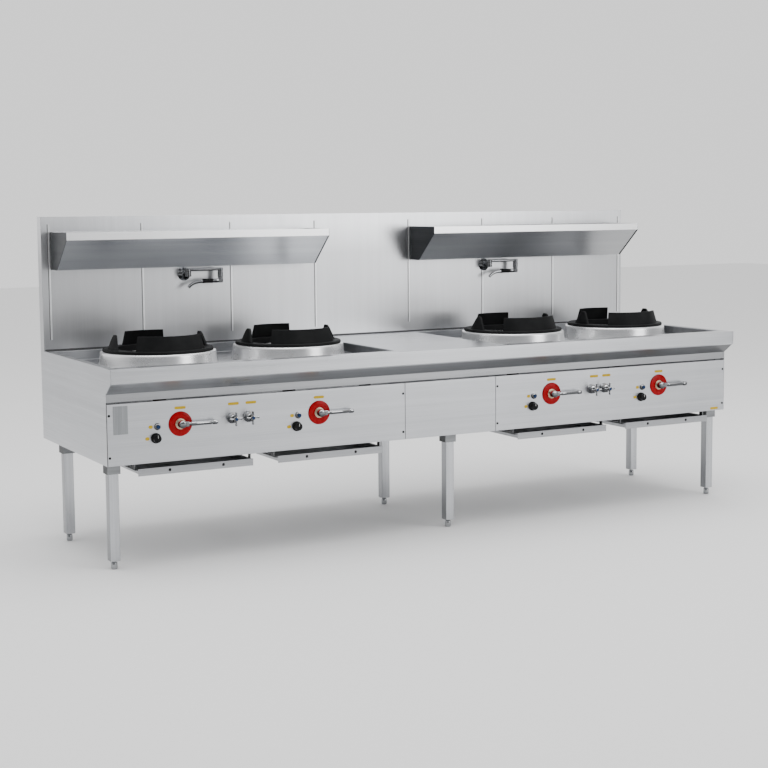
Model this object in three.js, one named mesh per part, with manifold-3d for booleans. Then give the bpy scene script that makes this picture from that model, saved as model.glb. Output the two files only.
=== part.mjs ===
// A four-burner wok range for a commercial kitchen, in millimetres, +Z up.
// The origin is on the floor, under the middle of the range; the cook stands on the -Y side.
// Sheet-steel panels hang on a welded angle frame, the burners stand on posts in that frame,
// and the iron wok rings, drip trays, levers, knobs, taps and folding faucets all move.

import * as THREE from 'three';
import { mergeVertices } from 'three/addons/utils/BufferGeometryUtils.js';
import Module from 'manifold-3d';

const wasm = await Module();
wasm.setup();

// ---------------------------------------------------------------- driving sizes

const fit = 0.3; // clearance between pieces that rest on or slide in each other

// body
const rangeWidth = 3000;
const bodyDepth = 840; // control-panel plane to the back
const rimReach = 60; // how far the front rim stands out past the control panels
const bodyBottom = 408;
const benchHeight = 780;
const totalHeight = 1340;
const rimFace = 55; // upright front face of the rim
const rimSlope = 45; // height of the slope under that face
const rimBand = 30; // upright band under the slope
const shadowGap = 7; // open gap between the band and the control panels
const deckSheet = 3;
const sideSheet = 2.5;
const panelSheet = 2;
const panelReturn = 14; // folded edge of a front panel

// wells and burners
const wellLength = 1207;
const wellDepth = 750;
const wellSink = 40;
const wellMargin = 30; // deck left beside a well
const burnerPitch = 580;
const burnerPairShift = 8; // the pairs stand this much nearer the middle than their wells
const burnerBack = 380; // burner centre behind the control-panel plane
const flueHole = 175; // radius of the hole under a collar
const collarHeight = 60;
const collarBore = 186;
const collarTopRadius = 231;
const collarFootRadius = 242;
const collarSheet = 3;

// cast-iron wok ring
const ringFlangeRadius = 223.5;
const ringFlange = 11.7;
const ringBore = 171;
const ringWallHeight = 57;
const ringWallFoot = 201;
const ringWallTop = 184;
const ringWall = 9;
const ringSpigot = 14; // skirt that drops into the collar
const frontWallAngle = 46; // half the sweep of the wall towards the cook, in degrees
const backWallAngle = 27;
const lugFoot = 52; // half widths of the side lugs
const lugTip = 14;
const lugChamfer = 7;

// burner head and its gas way
const burnerRadius = 118;
const burnerFoot = 46;
const burnerCup = 70; // height of the bowl under the jets
const burnerTop = 12; // top plate under the well floor
const jetRadius = 9;
const jetHeight = 14;
const feedRadius = 14;
const gasPipeRadius = 17;
const gasPipeBack = 80; // pipe centre behind the control-panel plane
const gasPipeInset = 120;
const valveBody = 40; // width of a valve's body
const valveHigh = 44;
const jetRings = [
  { jets: 1, at: 0 },
  { jets: 5, at: 0.42 }, // share of the burner's radius
  { jets: 10, at: 0.8 },
];

// front panels
const leftPanelWidth = 1280;
const rightPanelWidth = 1267;
const panelSeam = 2;
const valveUp = 142; // above the bottom edge of the body
const valvePitch = 592;
const leftValves = 590; // middle of the left pair, from the left side
const rightValves = 685.5; // middle of the right pair, from the right side
const tapShift = -47; // middle of the two taps, from the middle of the valves
const tapPitch = 71;
const tapUp = 7; // above the levers
const knobLeft = 100;
const knobDown = 48;
const igniterLeft = 93;
const igniterDown = 4;

// lever, bezel, knob, igniter and tap
const noseRadius = 15;
const noseReach = 9;
const bezelRadius = 48;
const bezelBore = 19;
const bezelThick = 3.7;
const spindleRadius = 6;
const spindleLength = 34;
const hubRadius = 15;
const hubLength = 25;
const leverRadius = 8.5;
const leverLength = 145;
const leverPin = 3;
const leverPinBack = 15; // from the lever's tip
const knobRadius = 20;
const knobReach = 24;
const knobRidge = 3;
const knobShaft = 4;
const igniterRadius = 7;
const igniterReach = 16;
const igniterCollar = 12;
const bonnetRadius = 22;
const bonnetReach = 28;
const tapStem = 5;
const tapHub = 9;
const tapArm = 27;
const tapReach = 50;
const tapArmRadius = 4.2; // at the tip; it narrows to the hub

// frame, legs and trays
const angleIron = 40;
const angleThick = 4;
const legSize = 40;
const legWall = 2;
const legInset = 40;
const middleLegShift = 30;
const frontLegs = 70; // leg centres behind the control-panel plane
const rearLegs = 640;
const socketWall = 5.7;
const socketDrop = 38;
const footHeight = 32;
const footRadius = 12.5;
const postSize = 30;
const trayWidth = 472;
const trayLength = 600;
const trayDrop = 18; // top of the tray under the body
const trayHigh = 24;
const traySheet = 2.5;
const trayLip = 13;
const trayProud = 17; // front flange in front of the control panels
const trayHoleRadius = 6;
const trayHoleSpread = 110;
const fingerLip = 155; // half length of the strip to pull the tray by
const runnerBack = 610;
const runnerEar = 20; // length of the two ears that a tray's runner hangs by

// splashback, shelves and faucets
const splashThick = 50;
const splashSheet = 2;
const shelfSheet = 3;
const shelfReach = 225;
const shelfTop = 496; // above the bench
const shelfLip = 31;
const shelfUnder = 339;
const shelfSole = 80; // flat bottom next to the splashback
const shelfRecess = 14;
const leftShelf = { inset: 40, length: 1185 };
const rightShelf = { inset: 70, length: 1168 };
const leftFaucet = 628; // from the left side
const rightFaucet = 828; // from the right side
const faucetHeight = 306; // above the bench
const faucetOut = 50;
const faucetArm = 150;
const faucetTube = 7;
const escutcheon = 30;
const escutcheonHigh = 9;
const barrelRadius = 14;
const barrelHigh = 11; // the body's barrel reaches this much above and below the wall pipe
const eyeHigh = 14;
const spoutDrop = 32;
const spoutTip = 26;
const gripRadius = 10;
const gripFrom = 66; // from the faucet's wall side to the two ends of the grip
const gripTo = 114;
const spoutBend = 50; // where the spout starts to bend down

// ---------------------------------------------------------------- places that follow

const side = rangeWidth / 2;
const rimFront = -(bodyDepth + rimReach) / 2;
const panelPlane = rimFront + rimReach;
const back = panelPlane + bodyDepth;
const splashFront = back - splashThick;
const bandBottom = benchHeight - rimFace - rimSlope - rimBand;
const panelTop = bandBottom - shadowGap;
const wellFloor = benchHeight - wellSink;
const collarTop = wellFloor + collarHeight;
const burnerY = panelPlane + burnerBack;
const innerSide = side - sideSheet - fit;
const valveZ = bodyBottom + valveUp;
const gasPipeY = panelPlane + gasPipeBack;
const wellOuter = side - wellMargin;
const wellInner = wellOuter - wellLength;
const pairMiddle = (wellOuter + wellInner) / 2 - burnerPairShift;
const burnersX = [-pairMiddle, pairMiddle].flatMap((x) => [x - burnerPitch / 2, x + burnerPitch / 2]);
const valvePairs = [-side + leftValves, side - rightValves];
const valvesX = valvePairs.flatMap((x) => [x - valvePitch / 2, x + valvePitch / 2]);
const tapsX = valvePairs.flatMap((x) => [x + tapShift - tapPitch / 2, x + tapShift + tapPitch / 2]);
const legsX = [-side + legInset, middleLegShift, side - legInset];
const frameFront = panelPlane + panelSheet + panelReturn + fit;
const frameBack = back - sideSheet - fit;

// ---------------------------------------------------------------- finishes

function finish(color, roughness, metalness) {
  return new THREE.MeshStandardMaterial({ color, roughness, metalness, flatShading: true });
}
const brushed = finish(0xb4b9bc, 0.38, 0.9);
const polished = finish(0xdfe2e5, 0.16, 1);
const chrome = finish(0xd9dcdf, 0.08, 1);
const iron = finish(0x17181a, 0.7, 0.4);
const redEnamel = finish(0xc4121a, 0.25, 0);
const blackPlastic = finish(0x121214, 0.4, 0);
const bluePlastic = finish(0x1f4f8c, 0.3, 0);
const galvanised = finish(0x8f9598, 0.55, 0.8);

// ---------------------------------------------------------------- shaping helpers

const round = 28; // facets of a large round
const fine = 12; // facets of a small round
const sliver = 0.01; // faces narrower than this are merged into their neighbours

// One closed solid from a geometry, with its faces turned outwards.
function solid(geometry) {
  const bare = geometry.clone();
  bare.deleteAttribute('normal');
  bare.deleteAttribute('uv');
  const merged = mergeVertices(bare, 1e-3);
  const corners = merged.getAttribute('position').array;
  const faces = [];
  let volume = 0;
  const [a, b, c] = [new THREE.Vector3(), new THREE.Vector3(), new THREE.Vector3()];
  for (let i = 0; i < merged.index.count; i += 3) {
    const face = [0, 1, 2].map((k) => merged.index.getX(i + k));
    if (new Set(face).size < 3) continue;
    faces.push(face);
    a.fromArray(corners, face[0] * 3);
    b.fromArray(corners, face[1] * 3);
    c.fromArray(corners, face[2] * 3);
    volume += a.dot(b.cross(c));
  }
  if (volume < 0) faces.forEach((face) => face.reverse());
  const vertProperties = new Float32Array(corners);
  const triVerts = new Uint32Array(faces.flat());
  return new wasm.Manifold(new wasm.Mesh({ numProp: 3, vertProperties, triVerts }));
}

const join = (first, ...rest) => rest.reduce((whole, piece) => whole.add(piece), first);
const cut = (whole, ...tools) => tools.reduce((left, tool) => left.subtract(tool), whole);

// A box between two corners, set exactly, so that boxes that share a face share it to the last digit.
function block(x0, x1, y0, y1, z0, z1) {
  const geometry = new THREE.BoxGeometry(1, 1, 1);
  const corners = geometry.getAttribute('position');
  for (let i = 0; i < corners.count; i += 1) {
    const [x, y, z] = [corners.getX(i), corners.getY(i), corners.getZ(i)];
    corners.setXYZ(i, x < 0 ? x0 : x1, y < 0 ? y0 : y1, z < 0 ? z0 : z1);
  }
  return solid(geometry);
}

// A round bar from one point to the other, tapered where its end radius differs.
function bar(from, to, radius, facets = fine, endRadius = radius) {
  const start = new THREE.Vector3(...from);
  const run = new THREE.Vector3(...to).sub(start);
  const geometry = new THREE.CylinderGeometry(endRadius, radius, run.length(), facets);
  const turn = new THREE.Quaternion().setFromUnitVectors(new THREE.Vector3(0, 1, 0), run.clone().normalize());
  return solid(geometry.applyQuaternion(turn).translate(...start.addScaledVector(run, 0.5).toArray()));
}

// A closed outline of [radius, height] points spun about the Z axis.
function spun(outline, facets = round) {
  const points = [...outline, outline[0]].map(([r, z]) => new THREE.Vector2(r, z));
  return solid(new THREE.LatheGeometry(points, facets).rotateX(Math.PI / 2));
}

// The same about the axis of a control on the front panels; distances run out of the panel, towards -Y.
function spunOut(outline, facets = fine) {
  const points = [...outline, outline[0]].map(([r, out]) => new THREE.Vector2(r, -out));
  return solid(new THREE.LatheGeometry(points, facets));
}

function extruded(outline, length) {
  const shape = new THREE.Shape(outline.map(([u, v]) => new THREE.Vector2(u, v)));
  return new THREE.ExtrudeGeometry(shape, { depth: length, bevelEnabled: false });
}

// An outline of [y, z] points carried along X from x0 to x1.
function alongX(outline, x0, x1) {
  const geometry = extruded(outline, 1);
  const corners = geometry.getAttribute('position');
  for (let i = 0; i < corners.count; i += 1) {
    corners.setXYZ(i, corners.getZ(i) < 0.5 ? x0 : x1, corners.getX(i), corners.getY(i));
  }
  return solid(geometry);
}

// An outline of [x, y] points carried up from z0 to z1.
const alongZ = (outline, z0, z1) => solid(extruded(outline, z1 - z0).translate(0, 0, z0));

const range = new THREE.Group();

// Adds a solid as a named mesh, once its flat faces are merged and no sliver is left along them.
function add(name, material, shape, x = 0, y = 0, z = 0) {
  const { vertProperties, triVerts } = shape.asOriginal().simplify(sliver).getMesh();
  const geometry = new THREE.BufferGeometry();
  geometry.setAttribute('position', new THREE.BufferAttribute(new Float32Array(vertProperties), 3));
  geometry.setIndex(new THREE.BufferAttribute(new Uint32Array(triVerts), 1));
  geometry.computeVertexNormals();
  const mesh = new THREE.Mesh(geometry, material);
  mesh.name = name;
  mesh.position.set(x, y, z);
  range.add(mesh);
}

// ---------------------------------------------------------------- deck

// The deck is one pressed sheet: rim, bench, two sunk wells and the holes that the burners fire through.
function hobTop() {
  const t = deckSheet;
  const miter = Math.tan(Math.atan2(rimReach, rimSlope) / 2) * t;
  const slopeTop = benchHeight - rimFace;
  const slopeBottom = slopeTop - rimSlope;
  const sheet = [
    [back, benchHeight],
    [rimFront, benchHeight],
    [rimFront, slopeTop],
    [panelPlane, slopeBottom],
    [panelPlane, bandBottom],
    [panelPlane + t, bandBottom],
    [panelPlane + t, slopeBottom + miter],
    [rimFront + t, slopeTop + miter],
    [rimFront + t, benchHeight - t],
    [back, benchHeight - t],
  ];
  let top = alongX(sheet, -innerSide, innerSide);
  const [y0, y1] = [panelPlane + t, panelPlane + t + wellDepth];
  for (const x0 of [-wellOuter, wellInner]) {
    const x1 = x0 + wellLength;
    top = join(top, block(x0 - t, x1 + t, y0 - t, y1 + t, wellFloor - t, benchHeight - t / 2));
    top = cut(top, block(x0, x1, y0, y1, wellFloor, benchHeight + t));
  }
  for (const x of burnersX) {
    top = cut(top, bar([x, burnerY, wellFloor - 2 * t], [x, burnerY, wellFloor + t], flueHole, round));
  }
  return top;
}
add('hob_top', brushed, hobTop());

// ---------------------------------------------------------------- casing

function sidePanel() {
  const outline = [
    [back, bodyBottom],
    [back, benchHeight],
    [rimFront, benchHeight],
    [rimFront, benchHeight - rimFace],
    [panelPlane, benchHeight - rimFace - rimSlope],
    [panelPlane, bodyBottom],
  ];
  return alongX(outline, -sideSheet / 2, sideSheet / 2);
}
add('side_panel_left', brushed, sidePanel(), -side + sideSheet / 2);
add('side_panel_right', brushed, sidePanel(), side - sideSheet / 2);

const underDeck = benchHeight - deckSheet - fit;
const rearPanel = block(-innerSide, innerSide, back - sideSheet, back, bodyBottom, underDeck);
add('rear_panel', brushed, rearPanel);

// A front panel is a shallow tray of sheet, folded back along its four edges.
function frontPanel(width) {
  const high = panelTop - bodyBottom;
  const s = panelSheet;
  const outer = block(0, width, 0, s + panelReturn, 0, high);
  return cut(outer, block(s, width - s, s, panelReturn * 2, s, high - s));
}

// The panel of one burner pair carries the igniter collars and the bonnets of its water taps.
function controlPanel(x0, width, valves, taps) {
  const up = valveZ - bodyBottom;
  let panel = frontPanel(width);
  const through = (x, z, radius) => bar([x, -panelSheet, z], [x, panelReturn, z], radius);
  for (const x of valves.map((valve) => valve - x0)) {
    const collar = spunOut([
      [igniterRadius + fit, -panelSheet],
      [igniterCollar, -panelSheet],
      [igniterCollar, igniterReach * 0.4],
      [igniterCollar - 2, igniterReach * 0.6],
      [igniterRadius + fit, igniterReach * 0.6],
    ]);
    const igniterX = x - igniterLeft;
    const igniterZ = up - igniterDown;
    panel = cut(panel, through(igniterX, igniterZ, igniterRadius + 2 * fit));
    panel = join(panel, collar.translate([igniterX, 0, igniterZ]));
    panel = cut(panel, through(x, up, noseRadius + fit));
    panel = cut(panel, through(x - knobLeft, up - knobDown, knobShaft + fit));
  }
  for (const x of taps.map((tap) => tap - x0)) {
    const bonnet = spunOut([
      [0, -panelSheet],
      [bonnetRadius, -panelSheet],
      [bonnetRadius, bonnetReach * 0.15],
      [bonnetRadius * 0.86, bonnetReach * 0.3],
      [bonnetRadius * 0.86, bonnetReach * 0.7],
      [bonnetRadius * 0.6, bonnetReach],
      [tapStem + fit, bonnetReach],
      [tapStem + fit, bonnetReach * 0.2],
      [0, bonnetReach * 0.2],
    ]);
    panel = join(panel, bonnet.translate([x, 0, up + tapUp]));
  }
  return panel;
}
const leftPanelX = -innerSide;
const rightPanelX = innerSide - rightPanelWidth;
const middlePanelX = leftPanelX + leftPanelWidth + panelSeam;
const middlePanelWidth = rightPanelX - panelSeam - middlePanelX;
const leftControls = controlPanel(leftPanelX, leftPanelWidth, valvesX.slice(0, 2), tapsX.slice(0, 2));
const rightControls = controlPanel(rightPanelX, rightPanelWidth, valvesX.slice(2), tapsX.slice(2));
add('control_panel_left', brushed, leftControls, leftPanelX, panelPlane, bodyBottom);
add('control_panel_right', brushed, rightControls, rightPanelX, panelPlane, bodyBottom);
add('centre_panel', brushed, frontPanel(middlePanelWidth), middlePanelX, panelPlane, bodyBottom);

// The splashback is a folded box, open underneath, that stands on the back of the deck.
function splashback() {
  const outer = block(-side, side, splashFront, back, benchHeight + fit, totalHeight);
  const s = splashSheet;
  return cut(outer, block(-side + s, side - s, splashFront + s, back - s, benchHeight - s, totalHeight - s));
}
add('splashback', brushed, splashback());

// A shelf is bent from sheet: a shallow tray on top, a lip in front, a slope underneath, and open behind.
function shelf(length) {
  const front = splashFront - shelfReach;
  const rear = splashFront - fit;
  const top = benchHeight + shelfTop;
  const bottom = benchHeight + shelfUnder;
  const s = shelfSheet;
  const outline = (inset) => [
    [rear + inset * 2, bottom + inset],
    [rear + inset * 2, top - (inset ? shelfRecess + inset : 0)],
    [front + inset, top - (inset ? shelfRecess + inset : 0)],
    [front + inset, top - shelfLip + inset / 2],
    [rear - shelfSole + inset / 2, bottom + inset],
  ];
  const hollow = alongX(outline(s), s, length - s);
  const tray = block(s, length - s, front + s, rear + s, top - shelfRecess, top + s);
  return cut(alongX(outline(0), 0, length), hollow, tray);
}
add('shelf_left', brushed, shelf(leftShelf.length), -side + leftShelf.inset);
add('shelf_right', brushed, shelf(rightShelf.length), side - rightShelf.inset - rightShelf.length);

// ---------------------------------------------------------------- frame

// Angle irons make a ring at the bottom and rails at the top, with uprights between them. The leg sockets,
// the posts under the burners and the runners of the drip trays are welded to the bottom ring.
function baseFrame() {
  const [a, t] = [angleIron, angleThick];
  const [x0, x1] = [-innerSide, innerSide];
  const [y0, y1] = [frameFront, frameBack];
  const z0 = bodyBottom;
  const frontTop = wellFloor - deckSheet - fit;
  const rearTop = underDeck;
  const parts = [];
  // bottom ring
  parts.push(block(x0, x1, y0, y0 + t, z0, z0 + a), block(x0, x1, y0, y0 + a, z0, z0 + t));
  parts.push(block(x0, x1, y1 - t, y1, z0, z0 + a), block(x0, x1, y1 - a, y1, z0, z0 + t));
  parts.push(block(x0, x0 + t, y0, y1, z0, z0 + a), block(x0, x0 + a, y0, y1, z0, z0 + t));
  parts.push(block(x1 - t, x1, y0, y1, z0, z0 + a), block(x1 - a, x1, y0, y1, z0, z0 + t));
  // rail over the middle legs, and one under each burner with the post that the burner stands on
  for (const x of [middleLegShift, ...burnersX]) {
    parts.push(block(x - t / 2, x + t / 2, y0, y1, z0, z0 + a));
    parts.push(block(x - a / 2, x + a / 2, y0, y1, z0, z0 + t));
  }
  const postTop = valveZ - feedRadius - fit;
  const half = postSize / 2;
  parts.push(...burnersX.map((x) => block(x - half, x + half, burnerY - half, burnerY + half, z0, postTop)));
  // uprights and top rails
  for (const [xa, xb] of [[x0, x0 + a], [middleLegShift - a / 2, middleLegShift + a / 2], [x1 - a, x1]]) {
    const web = xa < 0 && xb < 0 ? xa : xb - t;
    parts.push(block(xa, xb, y0, y0 + t, z0, frontTop), block(web, web + t, y0, y0 + a, z0, frontTop));
    parts.push(block(xa, xb, y1 - t, y1, z0, rearTop), block(web, web + t, y1 - a, y1, z0, rearTop));
  }
  parts.push(block(x0, x1, y0, y0 + t, frontTop - a, frontTop));
  parts.push(block(x0, x1, y0, y0 + a, frontTop - t, frontTop));
  parts.push(block(x0, x1, y1 - t, y1, rearTop - a, rearTop));
  parts.push(block(x0, x1, y1 - a, y1, rearTop - t, rearTop));
  // leg sockets under the frame
  const socket = legSize / 2 + fit + socketWall;
  const bore = legSize / 2 + fit;
  for (const x of legsX) {
    for (const y of [panelPlane + frontLegs, panelPlane + rearLegs]) {
      const sleeve = block(x - socket, x + socket, y - socket, y + socket, z0 - socketDrop, z0 + t);
      parts.push(cut(sleeve, block(x - bore, x + bore, y - bore, y + bore, z0 - socketDrop * 2, z0)));
    }
  }
  // tray runners: flat bars hung by two ears from the front rail and from a flat bar across the frame
  const barY = panelPlane + runnerBack;
  parts.push(block(x0, x1, barY - a, barY, z0, z0 + t));
  const ledge = z0 - trayDrop - traySheet - fit;
  const beside = trayWidth / 2 + 1; // from the middle of a tray to its runner
  for (const x of burnersX) {
    for (const s of [-1, 1]) {
      const ear = [x + s * beside, x + s * (beside + t)].sort((p, q) => p - q);
      const shelfX = [x + s * (beside + t), x + s * (beside - trayLip + 1)].sort((p, q) => p - q);
      parts.push(block(...shelfX, panelPlane, barY, ledge - t, ledge));
      parts.push(block(...ear, y0, y0 + runnerEar, ledge - t, z0 + t));
      parts.push(block(...ear, barY - runnerEar, barY, ledge - t, z0 + t));
    }
  }
  return join(...parts);
}
add('base_frame', galvanised, baseFrame());

// A leg is a square tube, closed below, with its levelling foot screwed in.
function leg() {
  const [half, bore] = [legSize / 2, legSize / 2 - legWall];
  const top = bodyBottom - fit;
  const tube = block(-half, half, -half, half, footHeight, top);
  const foot = spun(
    [
      [0, 0],
      [footRadius * 0.7, 0],
      [footRadius, footHeight * 0.14],
      [footRadius, footHeight * 0.8],
      [footRadius * 0.6, footHeight * 0.9],
      [footRadius * 0.6, footHeight + legWall],
      [0, footHeight + legWall],
    ],
    fine,
  );
  return join(cut(tube, block(-bore, bore, -bore, bore, footHeight + 2 * legWall, top + legWall)), foot);
}
legsX.forEach((x, i) => {
  const name = ['left', 'middle', 'right'][i];
  add(`leg_front_${name}`, brushed, leg(), x, panelPlane + frontLegs);
  add(`leg_rear_${name}`, brushed, leg(), x, panelPlane + rearLegs);
});

// ---------------------------------------------------------------- gas train

// The gas main runs behind the control panels; each valve on it ends in a nose that holds a lever.
function gasManifold() {
  const end = side - gasPipeInset;
  const forward = -gasPipeBack;
  let main = bar([-end, 0, 0], [end, 0, 0], gasPipeRadius);
  for (const x of valvesX) {
    const nose = bar([x, 0, 0], [x, forward - noseReach, 0], noseRadius);
    const [half, high] = [valveBody / 2, valveHigh / 2];
    const body = block(x - half, x + half, forward + 2 * panelReturn, -gasPipeRadius / 2, -high, high);
    const bore = bar([x, forward + spindleLength, 0], [x, forward - 2 * noseReach, 0], spindleRadius + fit);
    main = cut(join(main, body, nose), bore);
  }
  return main;
}
add('gas_manifold', galvanised, gasManifold(), 0, gasPipeY, valveZ);

// An iron bowl with a plate of jets on top, fed from the main by a pipe that lies on the frame's post.
function burner() {
  const plateTop = wellFloor - deckSheet - burnerTop - valveZ;
  const bowl = spun([
    [0, plateTop - burnerCup - burnerTop],
    [burnerFoot, plateTop - burnerCup - burnerTop],
    [burnerRadius, plateTop - burnerTop],
    [burnerRadius, plateTop],
    [0, plateTop],
  ]);
  const jets = [];
  for (const { jets: count, at } of jetRings) {
    for (let i = 0; i < count; i += 1) {
      const turn = (i / count) * Math.PI * 2;
      const [x, y] = [Math.cos(turn) * at * burnerRadius, Math.sin(turn) * at * burnerRadius];
      jets.push(bar([x, y, plateTop - 1], [x, y, plateTop + jetHeight], jetRadius, 6, jetRadius * 0.7));
    }
  }
  const bowlBottom = plateTop - burnerCup - burnerTop;
  const riser = bar([0, 0, -feedRadius], [0, 0, bowlBottom + 1], burnerFoot * 0.6);
  const feed = bar([0, 0, 0], [0, gasPipeY + gasPipeRadius + fit - burnerY, 0], feedRadius);
  return join(bowl, riser, feed, ...jets);
}

// ---------------------------------------------------------------- what stands on the deck

// The polished collar is a spun ring of sheet, standing on the well floor round the flue hole.
function collar() {
  const [t, h] = [collarSheet, collarHeight - fit];
  return spun([
    [collarFootRadius, 0],
    [collarTopRadius + 3, h * 0.55],
    [collarTopRadius, h],
    [collarBore, h],
    [collarBore, 0],
    [collarBore + t, 0],
    [collarBore + t, h - t],
    [collarTopRadius - t, h - t],
    [collarTopRadius + 3 - t, h * 0.55],
    [collarFootRadius - t, 0],
  ]);
}

// A slice of the ring's wall, centred on an angle from the cook's side.
function wedge(middle, half) {
  const reach = ringFlangeRadius * 1.3;
  const outline = [[0, 0]];
  for (const step of [-1, -0.5, 0, 0.5, 1]) {
    const angle = THREE.MathUtils.degToRad(middle + step * half);
    outline.push([Math.sin(angle) * reach, -Math.cos(angle) * reach]);
  }
  return alongZ(outline, 0, ringFlange + ringWallHeight * 1.2);
}

// The wok ring is one iron casting: a flange, a wall in front and behind, and a lug at each side.
function wokRing() {
  const top = ringFlange + ringWallHeight;
  const flange = spun([
    [ringBore, -ringSpigot],
    [collarBore - 2, -ringSpigot],
    [collarBore - 2, 0],
    [ringFlangeRadius - 2, 0],
    [ringFlangeRadius, 3],
    [ringFlangeRadius - 3, ringFlange],
    [ringBore, ringFlange],
  ]);
  const wall = spun([
    [ringWallFoot - ringWall, ringFlange - 1],
    [ringWallFoot, ringFlange - 1],
    [ringWallTop, top],
    [ringWallTop - ringWall, top],
  ]);
  const lugOutline = [
    [-lugFoot, ringFlange - 2],
    [lugFoot, ringFlange - 2],
    [lugTip * 1.3, top - lugChamfer],
    [lugTip * 0.8, top + 1],
    [-lugTip * 0.8, top + 1],
    [-lugTip * 1.3, top - lugChamfer],
  ];
  const reach = ringFlangeRadius * 1.2;
  const lugs = [alongX(lugOutline, 0, reach), alongX(lugOutline, -reach, 0)];
  const slices = [wedge(0, frontWallAngle), wedge(180, backWallAngle), ...lugs];
  return join(flange, ...slices.map((slice) => wall.intersect(slice)));
}

// A drip tray slides out towards the cook on its two lips.
function dripTray() {
  const [half, t] = [trayWidth / 2, traySheet];
  const pan = half - trayLip;
  const length = trayLength;
  let tray = block(-pan, pan, 0, length, -trayHigh, 0);
  tray = join(tray, block(-half, half, 0, length, -t, 0));
  tray = cut(tray, block(-pan + t, pan - t, t, length - t, -trayHigh + t, t));
  tray = join(tray, block(-half, half, -t, 0.5, -trayHigh - 2, 2));
  tray = join(tray, block(-fingerLip, fingerLip, -t, trayLip, 2 - t, 2));
  const holeZ = -trayHigh * 0.45;
  for (const x of [-trayHoleSpread, trayHoleSpread]) {
    tray = cut(tray, bar([x, -2 * t, holeZ], [x, 2 * t, holeZ], trayHoleRadius, 10));
  }
  return tray;
}

burnersX.forEach((x, i) => {
  const n = i + 1;
  add(`burner_${n}`, iron, burner(), x, burnerY, valveZ);
  add(`collar_${n}`, polished, collar(), x, burnerY, wellFloor + fit);
  add(`wok_ring_${n}`, iron, wokRing(), x, burnerY, collarTop + fit);
  add(`drip_tray_${n}`, brushed, dripTray(), x, panelPlane - trayProud + traySheet, bodyBottom - trayDrop);
});

// ---------------------------------------------------------------- controls

const bezel = spunOut(
  [
    [bezelBore, fit],
    [bezelRadius, fit],
    [bezelRadius, bezelThick * 0.6],
    [bezelRadius - 3, fit + bezelThick],
    [bezelBore, fit + bezelThick],
  ],
  24,
);

// The lever is a hub on a spindle, with a polished bar screwed into its side and a pin near the tip.
function lever() {
  const hubBack = noseReach + fit;
  const mid = -(hubBack + hubLength / 2);
  const hub = spunOut([
    [0, -spindleLength + 2 * fit],
    [spindleRadius, -spindleLength + 2 * fit],
    [spindleRadius, hubBack],
    [hubRadius, hubBack],
    [hubRadius, hubBack + hubLength - 3],
    [hubRadius - 3, hubBack + hubLength],
    [0, hubBack + hubLength],
  ]);
  const rod = bar([0, mid, 0], [leverLength - 3, mid, 0], leverRadius);
  const tip = bar([leverLength - 4, mid, 0], [leverLength, mid, 0], leverRadius, fine, leverRadius - 3);
  const pinX = leverLength - leverPinBack;
  const pin = bar([pinX, mid, 0], [pinX, mid, leverRadius + leverPin], leverPin, 8);
  return join(hub, rod, tip, pin);
}

function pilotKnob() {
  const body = spunOut([
    [0, fit],
    [knobRadius, fit],
    [knobRadius, knobReach * 0.25],
    [knobRadius * 0.86, knobReach * 0.35],
    [knobRadius * 0.8, knobReach * 0.9],
    [knobRadius * 0.7, knobReach],
    [0, knobReach],
  ]);
  const shaft = bar([0, 0, 0], [0, panelReturn, 0], knobShaft, 10);
  const stub = bar([0, 1, 0], [0, -knobReach / 2, 0], knobShaft, 10);
  const half = knobRadius * 0.75;
  const ridge = block(-knobRidge, knobRidge, -knobReach - knobRidge, -knobReach / 2, -half, half);
  return join(body, stub, shaft, ridge);
}

function igniterButton() {
  return spunOut([
    [0, -panelReturn],
    [igniterRadius, -panelReturn],
    [igniterRadius, igniterReach - 2],
    [igniterRadius - 2, igniterReach],
    [0, igniterReach],
  ]);
}

function tapHandle() {
  const armOut = -(tapReach - tapHub * 0.8);
  const hub = spunOut([
    [0, bonnetReach * 0.25],
    [tapStem, bonnetReach * 0.25],
    [tapStem, bonnetReach + 3],
    [tapHub, bonnetReach + 6],
    [tapHub, tapReach - 3],
    [tapHub * 0.7, tapReach],
    [0, tapReach],
  ]);
  const tips = [[tapArm, 0], [-tapArm, 0], [0, tapArm], [0, -tapArm]];
  const arm = ([x, z]) => bar([0, armOut, 0], [x, armOut, z], tapArmRadius * 0.75, 8, tapArmRadius);
  return join(hub, ...tips.map(arm));
}

valvesX.forEach((x, i) => {
  const n = i + 1;
  add(`valve_bezel_${n}`, redEnamel, bezel, x, panelPlane, valveZ);
  add(`valve_lever_${n}`, chrome, lever(), x, panelPlane, valveZ);
  add(`pilot_knob_${n}`, blackPlastic, pilotKnob(), x - knobLeft, panelPlane, valveZ - knobDown);
  add(`igniter_button_${n}`, bluePlastic, igniterButton(), x - igniterLeft, panelPlane, valveZ - igniterDown);
});
tapsX.forEach((x, i) => add(`tap_handle_${i + 1}`, chrome, tapHandle(), x, panelPlane, valveZ + tapUp));

// ---------------------------------------------------------------- folding faucets

// Body on the splashback; arm above it; spout under the arm's far end, folded back beneath the arm.
function faucetBody() {
  const rose = spunOut([
    [0, fit],
    [escutcheon, fit],
    [escutcheon, escutcheonHigh / 3],
    [escutcheon * 0.6, escutcheonHigh],
    [0, escutcheonHigh],
  ], 20);
  const pipe = bar([0, -4, 0], [0, -faucetOut, 0], faucetTube + 2);
  const barrel = bar([0, -faucetOut, -barrelHigh], [0, -faucetOut, barrelHigh], barrelRadius);
  return join(rose, pipe, barrel);
}

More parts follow.
